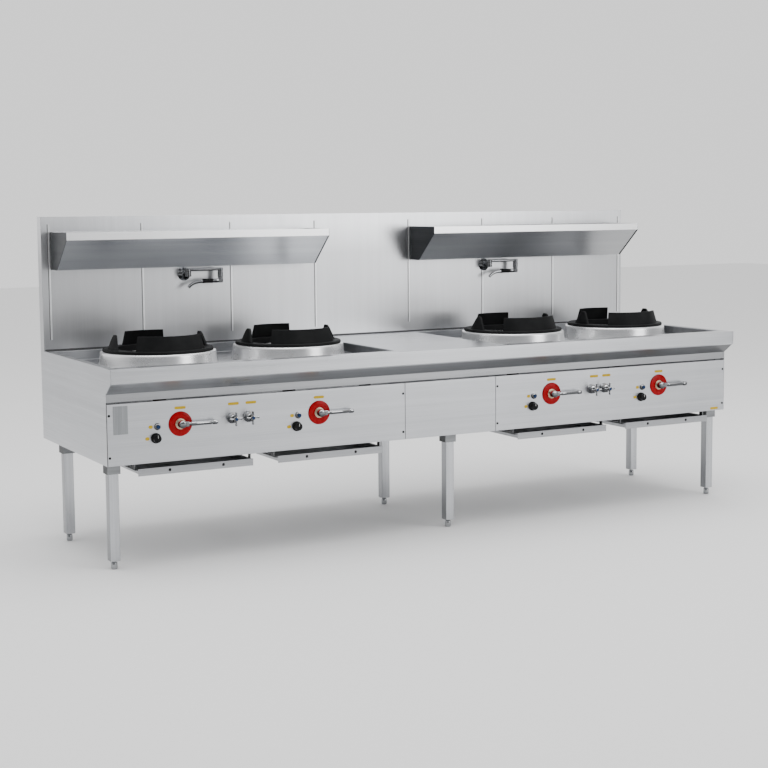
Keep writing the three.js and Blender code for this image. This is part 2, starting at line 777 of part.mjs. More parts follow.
function faucetArmShape() {
  const y = -faucetOut;
  const eyeBottom = barrelHigh + fit;
  const mid = eyeBottom + eyeHigh / 2;
  const eye = bar([0, y, eyeBottom], [0, y, eyeBottom + eyeHigh], barrelRadius);
  const tube = bar([0, y, mid], [faucetArm, y, mid], faucetTube - 0.5);
  const elbow = bar([faucetArm, y, -barrelHigh / 2], [faucetArm, y, eyeBottom + eyeHigh], barrelRadius - 2);
  return join(eye, tube, elbow);
}

function faucetSpout() {
  const elbowBottom = -barrelHigh / 2 - fit;
  const y = -faucetOut;
  const barrelEnd = -spoutDrop - faucetTube - 2;
  const barrel = bar([faucetArm, y, barrelEnd], [faucetArm, y, elbowBottom], barrelRadius - 2);
  const straight = bar([faucetArm, y, -spoutDrop], [spoutBend, y, -spoutDrop], faucetTube);
  const grip = bar([gripTo, y, -spoutDrop], [gripFrom, y, -spoutDrop], gripRadius);
  const run = new THREE.CatmullRomCurve3([
    new THREE.Vector3(spoutBend + 2, y, -spoutDrop),
    new THREE.Vector3(spoutBend * 0.62, y, -spoutDrop - spoutTip * 0.12),
    new THREE.Vector3(spoutBend * 0.25, y, -spoutDrop - spoutTip * 0.5),
    new THREE.Vector3(0, y, -spoutDrop - spoutTip),
  ]);
  const section = new THREE.Shape().absarc(0, 0, faucetTube, 0, Math.PI * 2);
  const nozzle = new THREE.ExtrudeGeometry(section, { steps: 6, curveSegments: 4, extrudePath: run });
  return join(barrel, straight, grip, solid(nozzle));
}

[-side + leftFaucet, side - rightFaucet].forEach((x, i) => {
  const place = [x, splashFront, benchHeight + faucetHeight];
  const hand = ['left', 'right'][i];
  add(`faucet_body_${hand}`, chrome, faucetBody(), ...place);
  add(`faucet_arm_${hand}`, chrome, faucetArmShape(), ...place);
  add(`faucet_spout_${hand}`, chrome, faucetSpout(), ...place);
});

export default range;
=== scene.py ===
import math

import bmesh
import bpy
from mathutils import Euler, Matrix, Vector


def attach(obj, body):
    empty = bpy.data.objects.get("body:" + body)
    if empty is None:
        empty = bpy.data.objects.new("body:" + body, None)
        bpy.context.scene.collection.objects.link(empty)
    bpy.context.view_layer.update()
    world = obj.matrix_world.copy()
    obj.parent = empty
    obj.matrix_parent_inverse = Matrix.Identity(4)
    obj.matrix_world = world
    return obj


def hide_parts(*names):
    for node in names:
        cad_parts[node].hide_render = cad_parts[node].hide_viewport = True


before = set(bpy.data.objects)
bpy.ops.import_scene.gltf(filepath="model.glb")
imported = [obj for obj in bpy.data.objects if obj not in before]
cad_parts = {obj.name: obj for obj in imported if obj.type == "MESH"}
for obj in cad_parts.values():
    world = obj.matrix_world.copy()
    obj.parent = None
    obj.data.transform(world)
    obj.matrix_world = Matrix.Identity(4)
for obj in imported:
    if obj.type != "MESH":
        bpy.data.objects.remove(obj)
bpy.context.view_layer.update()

# ---------------------------------------------------------------- camera
# The range is seen from the cook's left, a little above the bench, from about six metres away.
# The lens is long, so the bench, the rim and the splashback nearly keep their true angles.
photo_edge = 768
focal_length = 1515.0
horizon_lift = 26.65
film_width = 36.0
camera_place = (-3.2795, -5.8080, 1.3818)
camera_turn = math.radians(28.69)
camera_tilt = math.radians(-5.79)
camera_roll = math.radians(-0.48)


def deselect():
    bpy.ops.object.select_all(action="DESELECT")


deselect()
bpy.ops.object.camera_add(location=camera_place)
camera = bpy.context.object
camera.name = "camera"
aim = Euler((math.pi / 2 + camera_tilt, 0.0, -camera_turn))
aim.rotate_axis("Z", camera_roll)
camera.rotation_euler = aim
camera.data.sensor_width = film_width
camera.data.lens = focal_length / photo_edge * film_width
camera.data.shift_y = -horizon_lift / photo_edge
bpy.context.scene.camera = camera

# ---------------------------------------------------------------- studio
# A white sweep under a large soft light, with a tall one on the right that the splashback mirrors.
# The room is bright behind the range and overhead, and dark behind the camera, which streaks the chrome.
floor_reach = 40.0
overhead = {"place": (0.2, -0.4, 5.6), "size": (7.0, 4.5), "power": 210.0}
key = {"place": (4.2, -7.2, 2.6), "size": (3.4, 4.0), "power": 210.0}
lit_point = Vector((0.0, 0.0, 0.6))
room_strength = 1.2


class Wire:
    """A socket among a material's nodes; operators on it add Math nodes, and node() adds any other."""

    def __init__(self, tree, socket=None):
        self.tree = tree
        self.socket = socket

    def node(self, kind, sockets=None, out=0, **settings):
        made = self.tree.nodes.new(kind)
        for name, value in settings.items():
            setattr(made, name, value)
        for name, value in (sockets or {}).items():
            if isinstance(value, Wire):
                self.tree.links.new(value.socket, made.inputs[name])
            else:
                made.inputs[name].default_value = value
        return Wire(self.tree, made.outputs[out])

    def maths(self, operation, first, second=0.0):
        return self.node("ShaderNodeMath", {0: first, 1: second}, operation=operation)

    def __add__(self, other):
        return self.maths("ADD", self, other)

    __radd__ = __add__

    def __mul__(self, other):
        return self.maths("MULTIPLY", self, other)

    __rmul__ = __mul__

    def __sub__(self, other):
        return self.maths("SUBTRACT", self, other)

    def __rsub__(self, other):
        return self.maths("SUBTRACT", other, self)

    def __pow__(self, other):
        return self.maths("POWER", self, other)

    def __abs__(self):
        return self.maths("ABSOLUTE", self)

    def ramp(self, low, high):
        """0 at low, 1 at high, and even between them."""
        return self.node("ShaderNodeMapRange", {"Value": self, "From Min": low, "From Max": high})

    def blend(self, first, second):
        """The first colour where this is 0, and the second where it is 1."""
        first, second = (end if isinstance(end, Wire) else (*end, 1.0) for end in (first, second))
        return self.node("ShaderNodeMix", {0: self, 6: first, 7: second}, out=2, data_type="RGBA")

    def part(self, axis):
        """One number of a place or a direction: 0 is X, 1 is Y and 2 is Z."""
        return self.node("ShaderNodeSeparateXYZ", {0: self}, out=axis)

    def noise(self, scale, detail=2.0):
        return self.node("ShaderNodeTexNoise", {"Vector": self, "Scale": scale, "Detail": detail})

    def bump(self, strength, distance):
        return self.node("ShaderNodeBump", {"Height": self, "Strength": strength, "Distance": distance})


def new_finish(name, **sockets):
    """A material, its shader, and the place on the piece that its patterns are laid out on."""
    material = bpy.data.materials.new(name)
    material.use_nodes = True
    shader = material.node_tree.nodes["Principled BSDF"]
    for socket, value in sockets.items():
        shader.inputs[socket.replace("_", " ")].default_value = value
    place = Wire(material.node_tree).node("ShaderNodeTexCoord", out="Object")
    return material, shader, place


def plug(shader, **wires):
    for socket, wire in wires.items():
        wire.tree.links.new(wire.socket, shader.inputs[socket.replace("_", " ")])


def soft_light(name, place, size, power):
    bpy.ops.object.light_add(type="AREA", location=place)
    lamp = bpy.context.object
    lamp.name = name
    lamp.data.shape = "RECTANGLE"
    lamp.data.size, lamp.data.size_y = size
    lamp.data.energy = power
    lamp.rotation_euler = (lit_point - Vector(place)).to_track_quat("-Z", "Y").to_euler()


soft_light("overhead", **overhead)
soft_light("key", **key)

room = bpy.data.worlds.new("room")
bpy.context.scene.world = room
room.use_nodes = True
sky = Wire(room.node_tree)
direction = sky.node("ShaderNodeTexCoord", out="Generated")
behind, above = direction.part(1).ramp(-0.4, 0.3), direction.part(2).ramp(0.25, 0.75)
walls = sky.maths("MAXIMUM", behind, above).blend((0.17, 0.172, 0.176), (1.0, 1.0, 1.0))
room.node_tree.links.new(walls.socket, room.node_tree.nodes["Background"].inputs["Color"])
room.node_tree.nodes["Background"].inputs["Strength"].default_value = room_strength

bpy.ops.mesh.primitive_plane_add(size=floor_reach, location=(0.0, 0.0, 0.0))
floor = bpy.context.object
floor.name = "floor"
paper, paper_shader, paper_place = new_finish("paper", Roughness=0.9, Specular_IOR_Level=0.1)
fibre = paper_place.noise(40.0)
plug(paper_shader, Base_Color=fibre.blend((0.93, 0.93, 0.93), (0.96, 0.96, 0.96)))
floor.data.materials.append(paper)

# ---------------------------------------------------------------- frame
# Angle irons welded into a ring, with uprights, burner posts, leg sockets and tray runners.
# They are mill finish: dull grey with rolling streaks, brown heat near welds and light scuffs.
mill, mill_shader, mill_place = new_finish("mill_finish_steel", Metallic=0.85)
streak_place = mill_place.node("ShaderNodeMapping", {"Vector": mill_place, "Scale": (6.0, 60.0, 60.0)})
mill_streak = streak_place.noise(1.0, 4.0)
mill_patch = mill_place.noise(9.0, 5.0)
mill_grey = mill_streak.blend((0.17, 0.175, 0.18), (0.36, 0.37, 0.38))
mill_heat = mill_patch.ramp(0.62, 0.78).blend(mill_grey, (0.16, 0.13, 0.11))
mill_bump = mill_patch.bump(0.25, 0.0006)


def facing(place, axis):
    """How far a face looks along an axis, from -1 to 1."""
    return place.node("ShaderNodeNewGeometry", out="Normal").part(axis)


def aside(place):
    """1 on faces that look along X, to either side."""
    return abs(facing(place, 0)).ramp(0.6, 0.9)


# Painted shade: faces of the frame that look along X are darkened towards near black.
mill_painted_side_shade = (0.75 * aside(mill_place)).blend(mill_heat, (0.03, 0.03, 0.032))
plug(mill_shader, Base_Color=mill_painted_side_shade, Roughness=0.42 + mill_patch * 0.25, Normal=mill_bump)


def coat(material, *nodes):
    """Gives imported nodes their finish."""
    for node in nodes:
        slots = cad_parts[node].data.materials
        slots.clear()
        slots.append(material)


coat(mill, "base_frame")

# ---------------------------------------------------------------- legs
# Each leg is a square stainless tube with rounded corners, pushed up into a socket of the frame.
# A turned levelling foot is screwed into its lower end and shows a short neck above its pad.
leg_size = 0.040
leg_corner = 0.0035
leg_low, leg_high = 0.032, 0.4077
leg_columns = {"left": -1.46, "middle": 0.03, "right": 1.46}
leg_rows = {"front": -0.32, "rear": 0.25}
foot_profile = [
    (0.0000, 0.0000),
    (0.0088, 0.0000),
    (0.0112, 0.0010),
    (0.0125, 0.0045),
    (0.0125, 0.0240),
    (0.0115, 0.0262),
    (0.0078, 0.0285),
    (0.0075, 0.0340),
    (0.0000, 0.0340),
]


def brushed_steel(name, grain, dark, light, rough, painted_shade=None):
    """Stainless, streaked as finely as grain says along X, Y and Z; the last argument, if given, says where
    shade is painted on as a darker tone.
    """
    steel, shader, place = new_finish(name, Metallic=1.0)
    scratch_place = place.node("ShaderNodeMapping", {"Vector": place, "Scale": grain})
    scratch = scratch_place.noise(1.0, 3.0)
    band = scratch_place.noise(0.07, 2.0)
    smudge = place.noise(2.6, 4.0)
    streak = (scratch * 0.45 + band * 0.35 + smudge * 0.2).ramp(0.36, 0.64)
    bump = scratch.bump(0.1, 0.0002)
    colour = streak.blend(dark, light)
    # Painted shade: the steel is darkened towards a quarter of its dark tone where the mask is above 0.
    if painted_shade:
        colour = painted_shade(place).blend(colour, [0.25 * tone for tone in dark])
    roughness = rough - 0.05 + scratch * 0.06 + smudge * 0.08
    plug(shader, Base_Color=colour, Roughness=roughness, Normal=bump)
    return steel


# Painted shade: the faces of the legs that look along X are darker.
def painted_side_shade(place):
    return 0.5 * aside(place)


leg_grain, leg_dark, leg_light = (900.0, 900.0, 5.0), (0.40, 0.41, 0.43), (0.57, 0.58, 0.60)
leg_steel = brushed_steel("leg_steel", leg_grain, leg_dark, leg_light, 0.26, painted_side_shade)
foot_steel = brushed_steel("foot_steel", (60.0, 60.0, 900.0), (0.24, 0.25, 0.26), (0.46, 0.47, 0.48), 0.18)


def modify(piece, kind, **settings):
    """Adds a modifier to a piece and applies it."""
    bpy.context.view_layer.objects.active = piece
    modifier = piece.modifiers.new(kind.lower(), kind)
    for name, value in settings.items():
        setattr(modifier, name, value)
    bpy.ops.object.modifier_apply(modifier=modifier.name)


def round_edges(piece, width, segments=2):
    """Rounds the sharp edges of a piece and keeps its flat faces flat."""
    limits = {"limit_method": "ANGLE", "angle_limit": math.radians(35.0), "use_clamp_overlap": True}
    modify(piece, "BEVEL", width=width, segments=segments, **limits)
    piece.data.shade_smooth()
    modify(piece, "WEIGHTED_NORMAL", mode="FACE_AREA", weight=90, keep_sharp=False)


def alone(piece):
    deselect()
    piece.select_set(True)
    bpy.context.view_layer.objects.active = piece


def edit(piece):
    alone(piece)
    bpy.ops.object.mode_set(mode="EDIT")


def leave():
    bpy.ops.object.mode_set(mode="OBJECT")


def settled(piece, name):
    """Names a piece and puts its place, turn and size into its mesh."""
    piece.name = piece.data.name = name
    alone(piece)
    bpy.ops.object.transform_apply(location=True, rotation=True, scale=True)
    return piece


def cube(name, low, high):
    deselect()
    middle = [(a + b) / 2 for a, b in zip(low, high)]
    size = [b - a for a, b in zip(low, high)]
    bpy.ops.mesh.primitive_cube_add(size=1.0, location=middle, scale=size)
    return settled(bpy.context.object, name)


def smooth_curves(piece):
    """Shades a piece smooth, but for the edges that bend more than a facet does."""
    alone(piece)
    bpy.ops.object.shade_smooth_by_angle(angle=math.radians(38.0))


def sealed(piece, gap):
    """In edit mode, merges corners nearer than a gap, turns the faces outwards, and shades the piece."""
    bpy.ops.mesh.select_all(action="SELECT")
    bpy.ops.mesh.remove_doubles(threshold=gap)
    bpy.ops.mesh.normals_make_consistent(inside=False)
    leave()
    smooth_curves(piece)
    return piece


def turned(name, profile, sides, closed=False):
    """A piece turned on a lathe: a ring is extruded and scaled from point to point of its profile."""
    deselect()
    (radius, height), *rest = profile
    if closed:
        rest.append(profile[0])
    tiny = 1e-5
    bpy.ops.mesh.primitive_circle_add(vertices=sides, radius=max(radius, tiny), location=(0.0, 0.0, height))
    piece = settled(bpy.context.object, name)
    edit(piece)
    bpy.context.tool_settings.mesh_select_mode = (True, False, False)
    bpy.ops.mesh.select_all(action="SELECT")
    for next_radius, next_height in rest:
        step = {"value": (0.0, 0.0, next_height - height)}
        bpy.ops.mesh.extrude_region_move(TRANSFORM_OT_translate=step)
        grow = max(next_radius, tiny) / max(radius, tiny)
        bpy.ops.transform.resize(value=(grow, grow, 1.0), center_override=(0.0, 0.0, next_height))
        radius, height = next_radius, next_height
    return sealed(piece, 4e-5)


upright = (0.0, 0.0, 0.0)


def placed(model, name, place, turn=upright):
    """A copy of a model with its own mesh, standing at a place."""
    piece = model.copy()
    piece.data = model.data.copy()
    bpy.context.collection.objects.link(piece)
    piece.location = place
    piece.rotation_euler = turn
    return settled(piece, name)


def put_away(*models):
    for model in models:
        bpy.data.objects.remove(model)


def fitted(piece, material, body, *nodes, slot=None):
    """Gives a piece its finish and its body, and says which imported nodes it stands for."""
    piece.data.materials.clear()
    piece.data.materials.append(material)
    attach(piece, body)
    if nodes:
        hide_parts(*nodes)


half = leg_size / 2
tube = cube("leg_tube", (-half, -half, leg_low), (half, half, leg_high))
round_edges(tube, leg_corner, segments=3)
foot = turned("levelling_foot", foot_profile, sides=32)
for side, x in leg_columns.items():
    for row, y in leg_rows.items():
        node = f"leg_{row}_{side}"
        fitted(placed(tube, f"tube_{row}_{side}", (x, y, 0.0)), leg_steel, "casing", node)
        fitted(placed(foot, f"foot_{row}_{side}", (x, y, 0.0)), foot_steel, "casing", node)
put_away(tube, foot)

# ---------------------------------------------------------------- burners and gas main
# Iron bowls with a plate of jets on top; their castings are left rough and turn brown with heat.
# They stand in the flue under the wok rings, each fed by its own pipe from the bare steel main.
burnt, burnt_shader, burnt_place = new_finish("burnt_iron", Metallic=0.5)
burnt_patch = burnt_place.noise(26.0, 6.0)
burnt_grain = burnt_place.noise(420.0, 2.0)
burnt_rust = burnt_patch.ramp(0.45, 0.7).blend((0.05, 0.048, 0.046), (0.13, 0.075, 0.045))
burnt_bump = burnt_grain.bump(0.5, 0.0006)
plug(burnt_shader, Base_Color=burnt_rust, Roughness=0.6 + burnt_patch * 0.3, Normal=burnt_bump)
coat(burnt, "burner_1", "burner_2", "burner_3", "burner_4")
coat(mill, "gas_manifold")

# ---------------------------------------------------------------- side and rear panels
# Flat stainless sheets that close the ends of the body, brushed from front to back.
# Their front edge steps back under the rim, where a slope is cut to follow the pressed deck.
side_sheet = 0.0025
side_steel = brushed_steel("side_steel", (500.0, 4.0, 700.0), (0.47, 0.48, 0.50), (0.62, 0.63, 0.65), 0.33)
range_end = 1.5
body_low, bench = 0.408, 0.780
rim_front, front_plane, back_plane = -0.450, -0.390, 0.450
rim_low, slope_low, band_low = 0.725, 0.680, 0.650
near_by = 0.001  # how far to each side of a plane counts as on it


def pick(piece, kind, test):
    """In edit mode, selects the faces or edges whose middle and direction pass a test."""
    modes = {"edges": (False, True, False), "faces": (False, False, True)}
    bpy.context.tool_settings.mesh_select_mode = modes[kind]
    bpy.ops.mesh.select_all(action="DESELECT")
    mesh = bmesh.from_edit_mesh(piece.data)
    for element in getattr(mesh, kind):
        corners = [corner.co for corner in element.verts]
        middle = sum(corners, Vector()) / len(corners)
        way = element.normal if kind == "faces" else (corners[1] - corners[0]).normalized()
        if test(middle, way):
            element.select_set(True)
    bmesh.update_edit_mesh(piece.data)


def score(*cuts, **settings):
    """Cuts the whole piece along planes, each a point and a direction."""
    for point, way in cuts:
        bpy.ops.mesh.select_all(action="SELECT")
        bpy.ops.mesh.bisect(plane_co=point, plane_no=way, **settings)


def pull(x=0.0, y=0.0, z=0.0):
    bpy.ops.mesh.extrude_region_move(TRANSFORM_OT_translate={"value": (x, y, z)})


def slope_edge(at, way):
    """True for the edge that is lifted to leave the slope under the rim."""
    return abs(way.x) > 0.9 and at.y < rim_front + near_by and at.z < slope_low + near_by


end_sheet = cube("end_sheet", (0.0, front_plane, body_low), (side_sheet, back_plane, bench))
edit(end_sheet)
score(((0.0, 0.0, slope_low), (0.0, 0.0, 1.0)))
pick(end_sheet, "faces", lambda at, way: way.y < -0.9 and at.z > slope_low)
pull(y=rim_front - front_plane)
pick(end_sheet, "edges", slope_edge)
bpy.ops.transform.translate(value=(0.0, 0.0, rim_low - slope_low))
leave()
round_edges(end_sheet, 0.0006)
for side, x in (("left", -range_end), ("right", range_end - side_sheet)):
    fitted(placed(end_sheet, f"end_sheet_{side}", (x, 0.0, 0.0)), side_steel, "casing", f"side_panel_{side}")
put_away(end_sheet)
coat(side_steel, "rear_panel")

# ---------------------------------------------------------------- deck
# One pressed stainless sheet, 3 mm thick: bench, rolled rim with a slope and a band under it,
# and two sunk wells. Each burner fires through a round hole in the floor of its well.
deck_sheet = 0.003
deck_end = 1.4972
well_near, well_far = 0.263, 1.470
well_front, well_back = -0.387, 0.363
well_sink = 0.040
well_floor = bench - well_sink
flue_radius = 0.175
burner_columns, burner_row = (-1.1485, -0.5685, 0.5685, 1.1485), -0.010
burner_places = [(x, burner_row) for x in burner_columns]


def painted_rim_and_well_shade(place):
    """Painted shade: above 0 on the slope under the rim, rising towards its right end, on the band below it
    and what lies lower, and on the wells' walls, most where they look along X.
    """
    along, near, high = place.part(0), place.part(1), place.part(2)
    under = near.ramp(rim_front + 0.006, rim_front + 0.008) * high.ramp(rim_low + near_by, rim_low - near_by)
    band = high.ramp(slope_low + near_by, slope_low - near_by)
    slope = (1.0 - band) * (0.34 + 0.66 * along.ramp(-range_end, range_end))
    wall = high.ramp(bench - near_by, bench - 0.006) * high.ramp(well_floor + near_by, well_floor + 0.004)
    wall = wall * near.ramp(well_front - 0.012, well_front - 0.008)
    return under * (slope + 0.46 * band) + wall * (0.25 + 0.6 * aside(place))


deck_grain, deck_dark, deck_light = (4.0, 600.0, 600.0), (0.44, 0.45, 0.47), (0.60, 0.61, 0.63)
# The deck steel carries painted shade under the rim and on the wells' walls.
deck_steel = brushed_steel("deck_steel", deck_grain, deck_dark, deck_light, 0.27, painted_rim_and_well_shade)

deselect()
bpy.ops.mesh.primitive_plane_add(size=1.0, location=(0.0, 0.0, bench))
bpy.context.object.scale = (2 * deck_end, back_plane - rim_front, 1.0)
deck = settled(bpy.context.object, "deck")
edit(deck)
score(*[((x, 0.0, 0.0), (1.0, 0.0, 0.0)) for x in (-well_far, -well_near, well_near, well_far)])
score(*[((0.0, y, 0.0), (0.0, 1.0, 0.0)) for y in (well_front, well_back)])
pick(deck, "faces", lambda at, way: well_near < abs(at.x) < well_far and well_front < at.y < well_back)
pull(z=-well_sink)
pick(deck, "edges", lambda at, way: abs(way.x) > 0.9 and at.y < rim_front + near_by)
pull(z=rim_low - bench)
pull(y=front_plane - rim_front, z=slope_low - rim_low)
pull(z=band_low - slope_low)
leave()
modify(deck, "SOLIDIFY", thickness=deck_sheet, offset=-1.0, use_even_offset=True)
for x, y in burner_places:
    deselect()
    spot = (x, y, well_floor)
    bpy.ops.mesh.primitive_cylinder_add(vertices=96, radius=flue_radius, depth=0.02, location=spot)
    punch = bpy.context.object
    modify(deck, "BOOLEAN", operation="DIFFERENCE", object=punch, solver="EXACT")
    put_away(punch)
round_edges(deck, 0.0012)
fitted(deck, deck_steel, "casing", "hob_top")

# ---------------------------------------------------------------- splashback
# A folded box of stainless sheet that stands on the back of the bench, brushed upwards.
# A narrow bent cover strip hides each joint of its front, and dark strips beside the cover strips
# and along the foot, where the box meets the bench, are painted shadow in the joints.
splash_front, splash_low, splash_top = 0.400, 0.7803, 1.340
splash_sheet = 0.002
strip_width, strip_high = 0.009, 0.0014
strip_low, strip_top = 0.826, 1.308
strip_crown = 0.6
joint_width, joint_high = 0.003, 0.0006
shade_line_end = 1.495
shade_line_low, shade_line_top = bench + 0.0003, bench + 0.0065
shade_line_front = splash_front - 0.0025
sunk = 0.001  # how deep trim reaches into the sheet that it lies on
strip_places = [-1.470, -1.063, -0.652, -0.238, 0.252, 0.662, 1.074, 1.477]


def painted_shade_below_shelves(place):
    """Painted shade: 0 along the top of the splashback, and above 0 from the shelves down, which is darker.
    """
    return 0.42 * place.part(2).ramp(1.30, 1.16)


splash_grain, splash_dark, splash_light = (500.0, 500.0, 4.0), (0.72, 0.73, 0.75), (0.82, 0.83, 0.85)
splash_steel = brushed_steel("splash_steel", splash_grain, splash_dark, splash_light, 0.3, painted_shade_below_shelves)
strip_steel = brushed_steel("strip_steel", splash_grain, (0.84, 0.85, 0.86), (0.94, 0.95, 0.96), 0.34)
# Painted shadow: dark strips stand for the shade in the splashback's joints, along its foot and down the
# panels' left corner.
seam_painted_shadow, seam_shader, seam_place = new_finish("seam_painted_shadow", Roughness=0.7)
seam_shadow_mottle = seam_place.noise(90.0, 3.0)
plug(seam_shader, Base_Color=seam_shadow_mottle.blend((0.04, 0.04, 0.042), (0.11, 0.11, 0.115)))

splash = cube("splash", (-range_end, splash_front, splash_low), (range_end, back_plane, splash_top))
edit(splash)
pick(splash, "faces", lambda at, way: way.z < -0.9)
bpy.ops.mesh.delete(type="FACE")
leave()
modify(splash, "SOLIDIFY", thickness=splash_sheet, offset=-1.0)
round_edges(splash, 0.0018, segments=3)
fitted(splash, splash_steel, "casing", "splashback")

strip_front, into_splash = splash_front - strip_high, splash_front + sunk
strip = cube("strip", (0.0, strip_front, strip_low), (strip_width, into_splash, strip_top))
edit(strip)
pick(strip, "edges", lambda at, way: at.y < strip_front + 0.0001 and abs(way.x) > 0.9)
strip_middle = (strip_width / 2, strip_front, (strip_low + strip_top) / 2)
bpy.ops.transform.resize(value=(strip_crown, 1.0, 1.0), center_override=strip_middle)
leave()
round_edges(strip, 0.0003)
joint_front = splash_front - joint_high
joint_line = cube("joint_line", (-joint_width, joint_front, strip_low), (0.0, into_splash, strip_top))
round_edges(joint_line, 0.0003)
for n, x in enumerate(strip_places, 1):
    piece = placed(strip, f"cover_strip_{n}", (x, 0.0, 0.0))
    fitted(piece, strip_steel, "casing", slot="stainless")
    piece = placed(joint_line, f"joint_line_{n}", (x, 0.0, 0.0))
    fitted(piece, seam_painted_shadow, "casing", slot="black_plastic")
put_away(strip, joint_line)
low, high = (-shade_line_end, shade_line_front, shade_line_low), (shade_line_end, into_splash, shade_line_top)
foot_line = cube("splash_foot_line", low, high)
round_edges(foot_line, 0.0004)
fitted(foot_line, seam_painted_shadow, "casing", slot="black_plastic")

# ---------------------------------------------------------------- shelves
# Long stainless shelves bent from sheet: a shallow tray above, a lip in a lighter copy of the steel as a
# painted highlight, and a sloping soffit.
# Each end is closed by a welded plate, painted near black as shade, that stands a little proud of the slope.
shelf_front, shelf_back = 0.175, 0.3997
shelf_top, lip_low, shelf_low = 1.276, 1.245, 1.119
sole_front = 0.3197
shelf_sheet, shelf_sink = 0.003, 0.014
lip_step, soffit_step = 0.004, 0.002
end_plate, end_proud, slope_proud = 0.002, 0.0005, 0.002
shelf_ends = {"left": (-1.460, -0.275), "right": (0.262, 1.430)}
soffit_way = (0.0, -(lip_low - shelf_low), -(sole_front - shelf_front))


def painted_soffit_shade(place):
    """Painted shade: above 0 towards the right end of the right shelf, which is darker there."""
    return 0.6 * place.part(0).ramp(0.35, 0.75)


shelf_grain, shelf_dark, shelf_light = (3.0, 600.0, 600.0), (0.60, 0.61, 0.63), (0.76, 0.77, 0.78)
shelf_steel = brushed_steel("shelf_steel", shelf_grain, shelf_dark, shelf_light, 0.22, painted_soffit_shade)
# The lip is a lighter copy of the shelf steel, a painted highlight.
lip_painted_bright_steel = brushed_steel("lip_painted_bright_steel", shelf_grain, (0.86, 0.87, 0.88), (0.97, 0.97, 0.98), 0.3)
# The end plates are painted near black, as painted shade.
painted_dark_end_steel = brushed_steel("painted_dark_end_steel", (500.0, 4.0, 500.0), (0.05, 0.053, 0.058), (0.09, 0.094, 0.10), 0.4)

for side, (x0, x1) in shelf_ends.items():
    shelf = cube(f"shelf_{side}_sheet", (x0, shelf_front + lip_step, shelf_low), (x1, shelf_back, shelf_top))
    edit(shelf)
    score(((0.0, shelf_front, lip_low + soffit_step), soffit_way), use_fill=True, clear_outer=True)
    pick(shelf, "faces", lambda at, way: way.z > 0.9)
    bpy.ops.mesh.inset(thickness=shelf_sheet)
    pull(z=-shelf_sink)
    leave()
    round_edges(shelf, 0.0012)
    fitted(shelf, shelf_steel, "casing", f"shelf_{side}")
    lip = cube(f"shelf_{side}_lip", (x0, shelf_front, lip_low), (x1, shelf_front + lip_step, shelf_top))
    round_edges(lip, 0.001, segments=3)
    fitted(lip, lip_painted_bright_steel, "casing", f"shelf_{side}")
    for end, x in (("a", x0 - end_proud), ("b", x1 + end_proud - end_plate)):
        low, high = (x, shelf_front, shelf_low), (x + end_plate, shelf_back, shelf_top)
        plate = cube(f"shelf_{side}_end_{end}", low, high)
        edit(plate)
        low_front = Vector((0.0, shelf_front, lip_low)) + Vector(soffit_way).normalized() * slope_proud
        score((low_front, soffit_way), use_fill=True, clear_outer=True)
        leave()
        round_edges(plate, 0.0005)
        fitted(plate, painted_dark_end_steel, "casing", f"shelf_{side}")

# ---------------------------------------------------------------- front panels
# Three shallow trays of stainless sheet, folded back along their edges and screwed to the frame.
# The outer two carry chromed tap bonnets and igniter nuts, and a dark strip at the left corner is painted
# shadow in the joint.
panel_low, panel_top, panel_back = 0.408, 0.643, -0.374
panel_sheet = 0.002
panel_ends = {
    "control_panel_left": (-1.4972, -0.2172),
    "control_panel_right": (0.2302, 1.4972),
    "centre_panel": (-0.2152, 0.2282),
}
corner_ends = (-range_end + 0.0004, -range_end + 0.0036)
panel_steel = brushed_steel("panel_steel", deck_grain, (0.44, 0.45, 0.47), (0.56, 0.57, 0.59), 0.31)
valve_places = [-1.2060, -0.6140, 0.5185, 1.1105]
valve_high = 0.550
igniter_left, igniter_high = 0.093, 0.546
tap_places = [-0.9925, -0.9215, 0.7320, 0.8030]
tap_high = 0.557
outward = (math.pi / 2, 0.0, 0.0)

chrome, chrome_shader, chrome_place = new_finish("bright_chrome", Metallic=1.0)
chrome_haze = chrome_place.noise(35.0, 4.0)
# Painted light and shade: faces that look up are nearly white, faces that look down are near black, varied
# by the haze.
chrome_painted_top_light = facing(chrome_place, 2).ramp(-0.1, 0.75)
chrome_painted_underside_shade = chrome_haze.blend((0.05, 0.052, 0.056), (0.11, 0.114, 0.12))
chrome_painted_light_and_shade = chrome_painted_top_light.blend(chrome_painted_underside_shade, (0.86, 0.87, 0.89))
plug(chrome_shader, Base_Color=chrome_painted_light_and_shade, Roughness=chrome_haze.ramp(0.35, 0.8) * 0.12 + 0.05)

bonnet_profile = [
    (0.0000, 0.0280),
    (0.0058, 0.0280),
    (0.0130, 0.0272),
    (0.0162, 0.0240),
    (0.0189, 0.0196),
    (0.0189, 0.0085),
    (0.0200, 0.0068),
    (0.0220, 0.0045),
    (0.0220, 0.0008),
    (0.0212, 0.0000),
    (0.0000, 0.0000),
]
igniter_nut_profile = [
    (0.0075, 0.0000),
    (0.0140, 0.0000),
    (0.0140, 0.0012),
    (0.0120, 0.0014),
    (0.0120, 0.0064),
    (0.0108, 0.0090),
    (0.0098, 0.0096),
    (0.0080, 0.0096),
    (0.0075, 0.0090),
]


def on_panel(model, name, x, z, turn=outward):
    return placed(model, name, (x, front_plane, z), turn)


def panel_of(x):
    """The control panel that a place along the range belongs to."""
    return "control_panel_left" if x < 0.0 else "control_panel_right"


